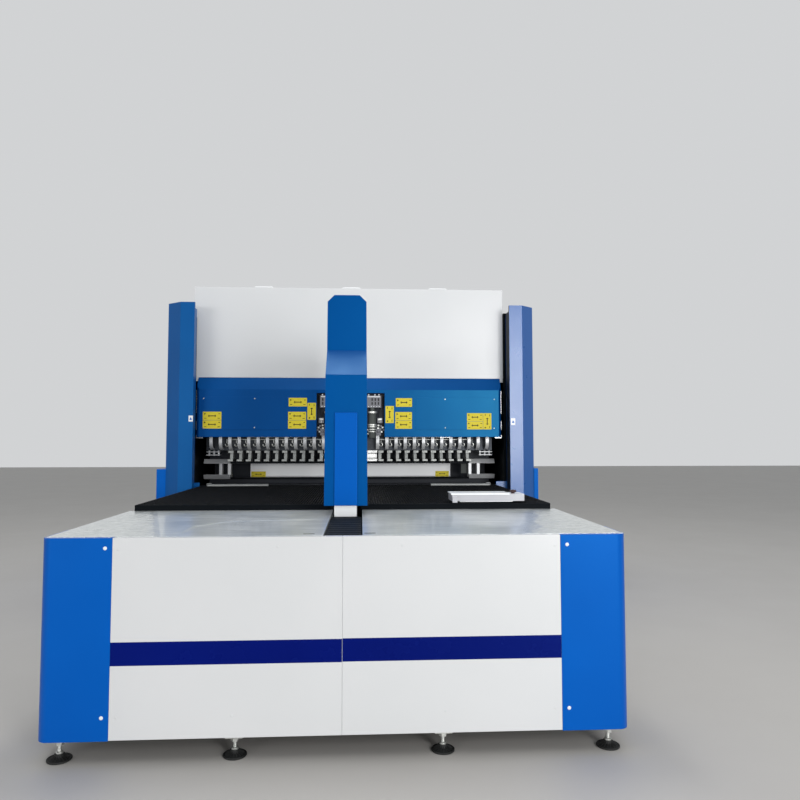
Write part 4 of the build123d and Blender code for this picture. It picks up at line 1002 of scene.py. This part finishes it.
def tool_block(bm, x, side, front, back, bottom, top):
    """A C-section tool: its web on the side toward the middle, its flange and its nose."""
    web = 0.58 * 2 * tool_half
    web_low, web_high = sorted((x - side * tool_half, x - side * (tool_half - web)))
    body = [(back, top - 0.018), (front + 0.032, top - 0.018), (front + 0.02, top - 0.036),
            (front + 0.016, bottom + 0.034), (front + 0.004, bottom + 0.02), (front + 0.004, bottom + 0.01),
            (back, bottom + 0.006)]
    flange = [(back, top), (front + 0.03, top), (front + 0.03, top - 0.02), (back, top - 0.02)]
    nose = [(back, bottom), (back, bottom + 0.0085), (front, bottom + 0.0225), (front, bottom + 0.006),
            (back - 0.01, bottom)]
    prism(bm, side_view(body), web_low, web_high)
    for outline in (flange, nose):
        prism(bm, side_view(outline), x - tool_half, x + tool_half)


bm = bmesh.new()
for side, word in sides:
    for i in range(13):
        x = side * (hook_first + hook_pitch * i)
        prism(bm, claw_outline(), x - hook_half, x + hook_half)
        stub(bm, 0.0075, 0.005, -0.005, -0.007, (x, at(hook_y), 1.425), "y", 14)
finished("tool_hooks_curved", bm, "press_beam", hook_steel, ["tool_hooks"], edge=0.002)

bm = bmesh.new()
for side, word in sides:
    for i in range(11):
        x, y = side * (hook_first + hook_pitch * i + 0.03), at(hook_y + 0.03)
        turns = [math.radians(a) for a in range(-200, 80, 20)]
        rod(bm, [(x + 0.0135 * math.cos(t), y, 1.368 + 0.0135 * math.sin(t)) for t in turns], 0.0042, 8)
        rod(bm, [(x, y, 1.3825), (x, y + 0.004, 1.418)], 0.0045, 8)
    rod(bm, [(side * x, at(hook_y + 0.035), 1.415) for x in (0.24, 1.085)], 0.007, 12)
    block(bm, (side * 0.36, side * 0.9), (hook_y + 0.02, hook_y + 0.05), (1.434, 1.4395))
finished("hook_springs", bm, "press_beam", zinc, edge=0)

for side, word in sides:
    node = "tool_segments_" + word
    front, back, bottom, top = tool_sizes(node)
    bm = bmesh.new()
    for i in range(11):
        x = side * (tool_first + tool_pitch * i)
        tool_block(bm, x, side, front, back, bottom, top)
        screw(bm, (x - side * 0.009, at(front + 0.03), top - 0.01), "-y", tool_screw)
    finished(node + "_milled", bm, node_body[node], tool_steel, [node], edge=0.0012)

front, back, bottom, top = tool_sizes("centre_tools")
centre_tool = [(back, top), (front + 0.03, top), (front + 0.03, top - 0.02), (back - 0.036, top - 0.032),
               (back - 0.036, bottom + 0.036), (front, bottom + 0.022), (front, bottom + 0.006),
               (back - 0.01, bottom), (back, bottom)]
bm = bmesh.new()
for i in range(4):
    x = (i - 1.5) * 0.12
    prism(bm, side_view(centre_tool), x - 0.0575, x + 0.0575)
    screws(bm, (x - 0.03, x + 0.03), [front + 0.03], [top - 0.01], "-y", tool_screw)
finished("centre_tools_milled", bm, "press_beam", nickel, ["centre_tools"], edge=0.0015)


# Blade holder

blade_face, blade_back, blade_low, blade_high = 3.2, 3.32, 1.095, 1.196
dressed("blade_holder", enamel, edge=0.003)
bm = bmesh.new()
# Painted shade: the middle lengths of both blades take dark steel and the ends bright steel
for x0, x1, kind in ((-1.33, -1.092, 0), (-1.092, 1.092, 1), (1.092, 1.33, 0)):
    drop, tip = (0.024, 3.214) if kind else (0.0, 3.224)
    prism(bm, side_view([(blade_face, blade_high), (3.224, 1.236), (blade_back, 1.236),
                         (blade_back, blade_high)]), x0, x1, "x", kind)
    prism(bm, side_view([(blade_face, blade_low - drop), (tip, 1.055), (blade_back, 1.055),
                         (blade_back, blade_low - 1.25 * drop)]), x0, x1, "x", kind)
dressed("bending_blades", [blade_end, dark_steel], bm=bm, edge=0.002, steps=3)
dressed("blade_end_posts", blade_end, edge=0.0015)
bm = bmesh.new()
block(bm, (1.026, 1.086), (3.27, 3.28), (1.1, 1.19))
block(bm, (1.03, 1.05), (3.28, 3.3), (1.12, 1.17))
finished("holder_plate", bm, "blade_holder", cast_grey, edge=0.001)
bm = bmesh.new()
for side, word in sides:
    for z0, z1 in ((1.3, 1.3065), (1.272, 1.279)):
        block(bm, (side * 1.17, side * 1.285), (3.1, 3.185), (z0, z1))
    for x in (1.185, 1.228, 1.27):
        disc(bm, 0.009, 1.268, 1.3165, (side * x, at(3.155), 0.0), "z", 14)
finished("rail_end_plates", bm, "press_beam", blade_end, edge=0.0008)
# Painted light: the blade cover takes the brightened white
dressed("blade_cover", white_with_painted_light, edge=0.002, steps=3)
bm = bmesh.new()
for xs in ((-0.941, -0.804), (0.804, 0.934)):
    label(bm, xs, depth(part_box("blade_cover")[0].y), (1.0605, 1.113))
finished("blade_labels", bm, "blade_holder", [yellow, mark_black], edge=0)


# Columns, side boxes, hood

column_face, lower_side, machine_end, hood_top, loop_foot = 2.8, 1.66, 4.8, 2.7745, 2.775
hatch_skin = 0.0015
hinge_profile = [(0.0, -0.045), (0.0055, -0.045), (0.0065, -0.042), (0.0065, -0.002), (0.0055, 0.0),
                 (0.0065, 0.002), (0.0065, 0.042), (0.0055, 0.045), (0.0, 0.045)]
loop_half = [(0.079, 0.0), (0.079, 0.012), (0.076, 0.0165), (0.071, 0.019)]
loop_path = [(-x, z) for x, z in loop_half] + loop_half[::-1]


def widened(node):
    """A node's mesh with its left side moved out, to stand where the photograph shows it."""
    bm = from_node(node)
    shifted(bm, lambda p: p.x < -1.54, x=-0.022)
    shifted(bm, lambda p: abs(p.x + 1.446) < 0.004, x=-0.009)
    shifted(bm, lambda p: abs(p.x + 1.332) < 0.004, x=-0.006)
    return bm


bm = widened("column_cover_left")
shifted(bm, lambda p: abs(p.y - at(2.939)) < 0.005, y=-0.055)
dressed("column_cover_left", column_blue, bm=bm, edge=0.0035, steps=3)
# The right column takes the lighter copy with the painted sheen
bm = from_node("column_cover_right")
# Painted shade: the right column's inner return faces take black coat
second_material(bm, lambda face, middle: face.normal.x < -0.9 and abs(middle.x - 1.39) < 0.004)
dressed("column_cover_right", [sheen_blue, black_coat], bm=bm, edge=0.0035, steps=3)
bm = bmesh.new()
for (x0, x1), (z0, z1) in (((-1.372, -1.336), (1.567, 1.618)), ((1.399, 1.436), (1.541, 1.6))):
    plate(bm, (x0, x1), column_face, (z0, z1), 0.0008, 0.003, 0)
    x, z = (x0 + x1) / 2, (z0 + z1) / 2
    prism(bm, [(x - 0.011, z - 0.011), (x + 0.011, z - 0.011), (x, z + 0.012)], at(column_face) - 0.0013,
          at(column_face) - 0.0008, "y", 1)
finished("column_signs", bm, "base", [sign_white, blue], edge=0)

dressed("lower_side_covers", blue, edge=0.003, steps=3)
dressed("upper_side_covers", blue, bm=widened("upper_side_covers"), edge=0.003, steps=3)
dressed("rear_panels", white, edge=0.002)
bm = from_node("hood")
shifted(bm, lambda p: p.x > 1.3, x=0.011)
shifted(bm, lambda p: p.x < -1.3, x=-0.028)
for side, word in sides:
    block(bm, (side * 1.343, side * 1.374), (3.0205, 3.03), (1.93, 1.972))
# The hood takes the darker copy of the white, painted shade
dressed("hood", shaded_hood_white, bm=bm, edge=0.004, steps=3)

hatches, bolts, pulls = bmesh.new(), bmesh.new(), bmesh.new()
for side, word in sides:
    out = outward(side)
    upper, frame_side = (1.621, 1.376) if side > 0 else (-1.583, -1.393)
    hatch_face = side * (lower_side + hatch_skin)
    plate(hatches, (3.42, 4.05), upper, (1.36, 2.3), hatch_skin, 0.02, 0, out)
    for ys in ((3.0, 3.83), (3.87, 4.7)):
        plate(hatches, ys, side * lower_side, (0.15, 1.11), hatch_skin, 0.015, 0, out)
    for x, ys, zs in ((upper + side * hatch_skin, (3.45, 3.735, 4.02), (1.39, 2.27)),
                      (hatch_face, (3.03, 3.8, 3.9, 4.67), (0.19, 0.63, 1.07)),
                      (upper, (3.22, 3.7, 4.2, 4.62), [1.2]), (frame_side, (3.15, 3.6, 4.1), [2.6])):
        screws(bolts, [x], ys, zs, out, cover_bolt)
    door = side * 0.1
    plate(pulls, (door - 0.016, door + 0.016), machine_end, (1.02, 1.2), 0.002, 0.008, 0, "y")
    block(pulls, (door - 0.008, door + 0.008), (machine_end, 4.809), (1.055, 1.165))
    disc(pulls, 0.009, 0.0, 0.0035, (door, at(machine_end), 1.185), "y", 16)
    for z in (0.36, 1.03, 1.72):
        lathe(pulls, hinge_profile, (side * 1.424, at(machine_end), z), "z", 12)
    for ys in ((4.2, 4.34), (3.34, 3.48)):
        plate(pulls, ys, hatch_face, (0.985, 1.015), 0.004, 0.006, 0, out)
finished("side_hatches", hatches, "base", blue, edge=0.0008)
finished("side_bolts", bolts, "base", zinc, edge=0)
finished("door_pulls", pulls, "base", black_coat, edge=0.001)
bm = bmesh.new()
for side, word in sides:
    prism(bm, [(side * x, at(y)) for x, y in ((0.3, 3.35), (1.15, 3.35), (1.15, 4.05), (0.3, 4.05))],
          hood_top, hood_top + 0.002, "z")
    screws(bm, [side * x for x in (0.34, 0.725, 1.11)], (3.39, 4.01), [hood_top + 0.002], "z", cover_bolt)
finished("hood_hatches", bm, "base", white, edge=0.0008)

bm = bmesh.new()
for middle in (-0.79, 0.0, 0.79):
    rod(bm, [(middle + x, at(3.086), loop_foot + z) for x, z in loop_path], 0.006, 14)
    for end in (-0.079, 0.079):
        stub(bm, 0.0125, 0.0085, 0.002, 0.0035, (middle + end, at(3.086), loop_foot), "z", 20)
finished("lifting_loops_bent", bm, "base", white, ["lifting_loops"], edge=0)

for node in sorted(set(frame["nodes"]) - shown):
    dressed(node)


# Floor, light and camera

def area_light(name, place, toward, size, energy, tint=(1, 1, 1)):
    """A rectangular light at a place, turned toward a point."""
    lamp = bpy.data.lights.new(name, "AREA")
    lamp.shape = "RECTANGLE"
    lamp.size, lamp.size_y = size
    lamp.energy = energy
    lamp.color = tint
    held = linked(name, lamp)
    held.location = place
    held.rotation_euler = (Vector(toward) - Vector(place)).to_track_quat("-Z", "Y").to_euler()


floor_mesh = bpy.data.meshes.new("floor")
floor_mesh.from_pydata([(-30, -13, 0), (30, -13, 0), (30, 30, 0), (-30, 30, 0)], [], [(0, 1, 2, 3)])
floor = linked("floor", floor_mesh)
ground = Graph("floor_concrete")
ground.colour(ground.mixed(ground.noise(0.8, 6, 0.6), (203, 200, 195), (193, 189, 184)))
ground.rough(ground.noise(2.5, 5, 0.6), 0.45, 0.65)
floor_mesh.materials.append(ground.material)

world = bpy.data.worlds.new("studio")
bpy.context.scene.world = world
world.use_nodes = True
sky = world.node_tree
lighting, backdrop = sky.nodes["Background"], sky.nodes.new("ShaderNodeBackground")
for node, colour, strength in ((lighting, (0.92, 0.96, 1.0), 0.32), (backdrop, (0.64, 0.65, 0.66), 1.0)):
    node.inputs["Color"].default_value = (*colour, 1)
    node.inputs["Strength"].default_value = strength
rays = sky.nodes.new("ShaderNodeLightPath").outputs
seen, seen_too = [sky.nodes.new("ShaderNodeMath") for k in range(2)]
both = sky.nodes.new("ShaderNodeMixShader")
for node in (seen, seen_too):
    node.operation = "MAXIMUM"
for source, socket in ((rays["Is Camera Ray"], seen.inputs[0]), (rays["Is Glossy Ray"], seen.inputs[1]),
                       (seen.outputs[0], seen_too.inputs[0]),
                       (rays["Is Transmission Ray"], seen_too.inputs[1]),
                       (seen_too.outputs[0], both.inputs["Fac"]),
                       (lighting.outputs[0], both.inputs[1]), (backdrop.outputs[0], both.inputs[2]),
                       (both.outputs[0], sky.nodes["World Output"].inputs["Surface"])):
    sky.links.new(source, socket)

area_light("roof_light", (0.0, -0.5, 6.5), (0.0, -0.5, 0.0), (14.0, 11.0), 268, (0.98, 0.99, 1.0))
area_light("roof_strip", (0.0, -0.75, 6.4), (0.0, -0.75, 0.0), (0.9, 1.3), 44, (0.98, 0.99, 1.0))
area_light("front_light", (12.0, -30.0, 3.0), (0.3, 0.0, 1.2), (21.0, 6.0), 1950)
area_light("side_light", (-19.0, -28.0, 3.0), (-0.3, 0.0, 1.2), (14.0, 6.0), 1950)
area_light("window_light", (3.3, -8.2, 2.4), (1.2, 0.0, 1.6), (1.7, 4.0), 200)

camera = bpy.data.cameras.new("camera")
camera.lens = 31.105
camera.sensor_width = 36.0
camera.clip_end = 200
eye = linked("camera", camera)
eye.location = (0.0909, -5.5691, 1.421)
eye.rotation_euler = (math.pi / 2 + 0.056, 0, -0.0565)
bpy.context.scene.camera = eye
bpy.context.scene.view_settings.view_transform = "Standard"
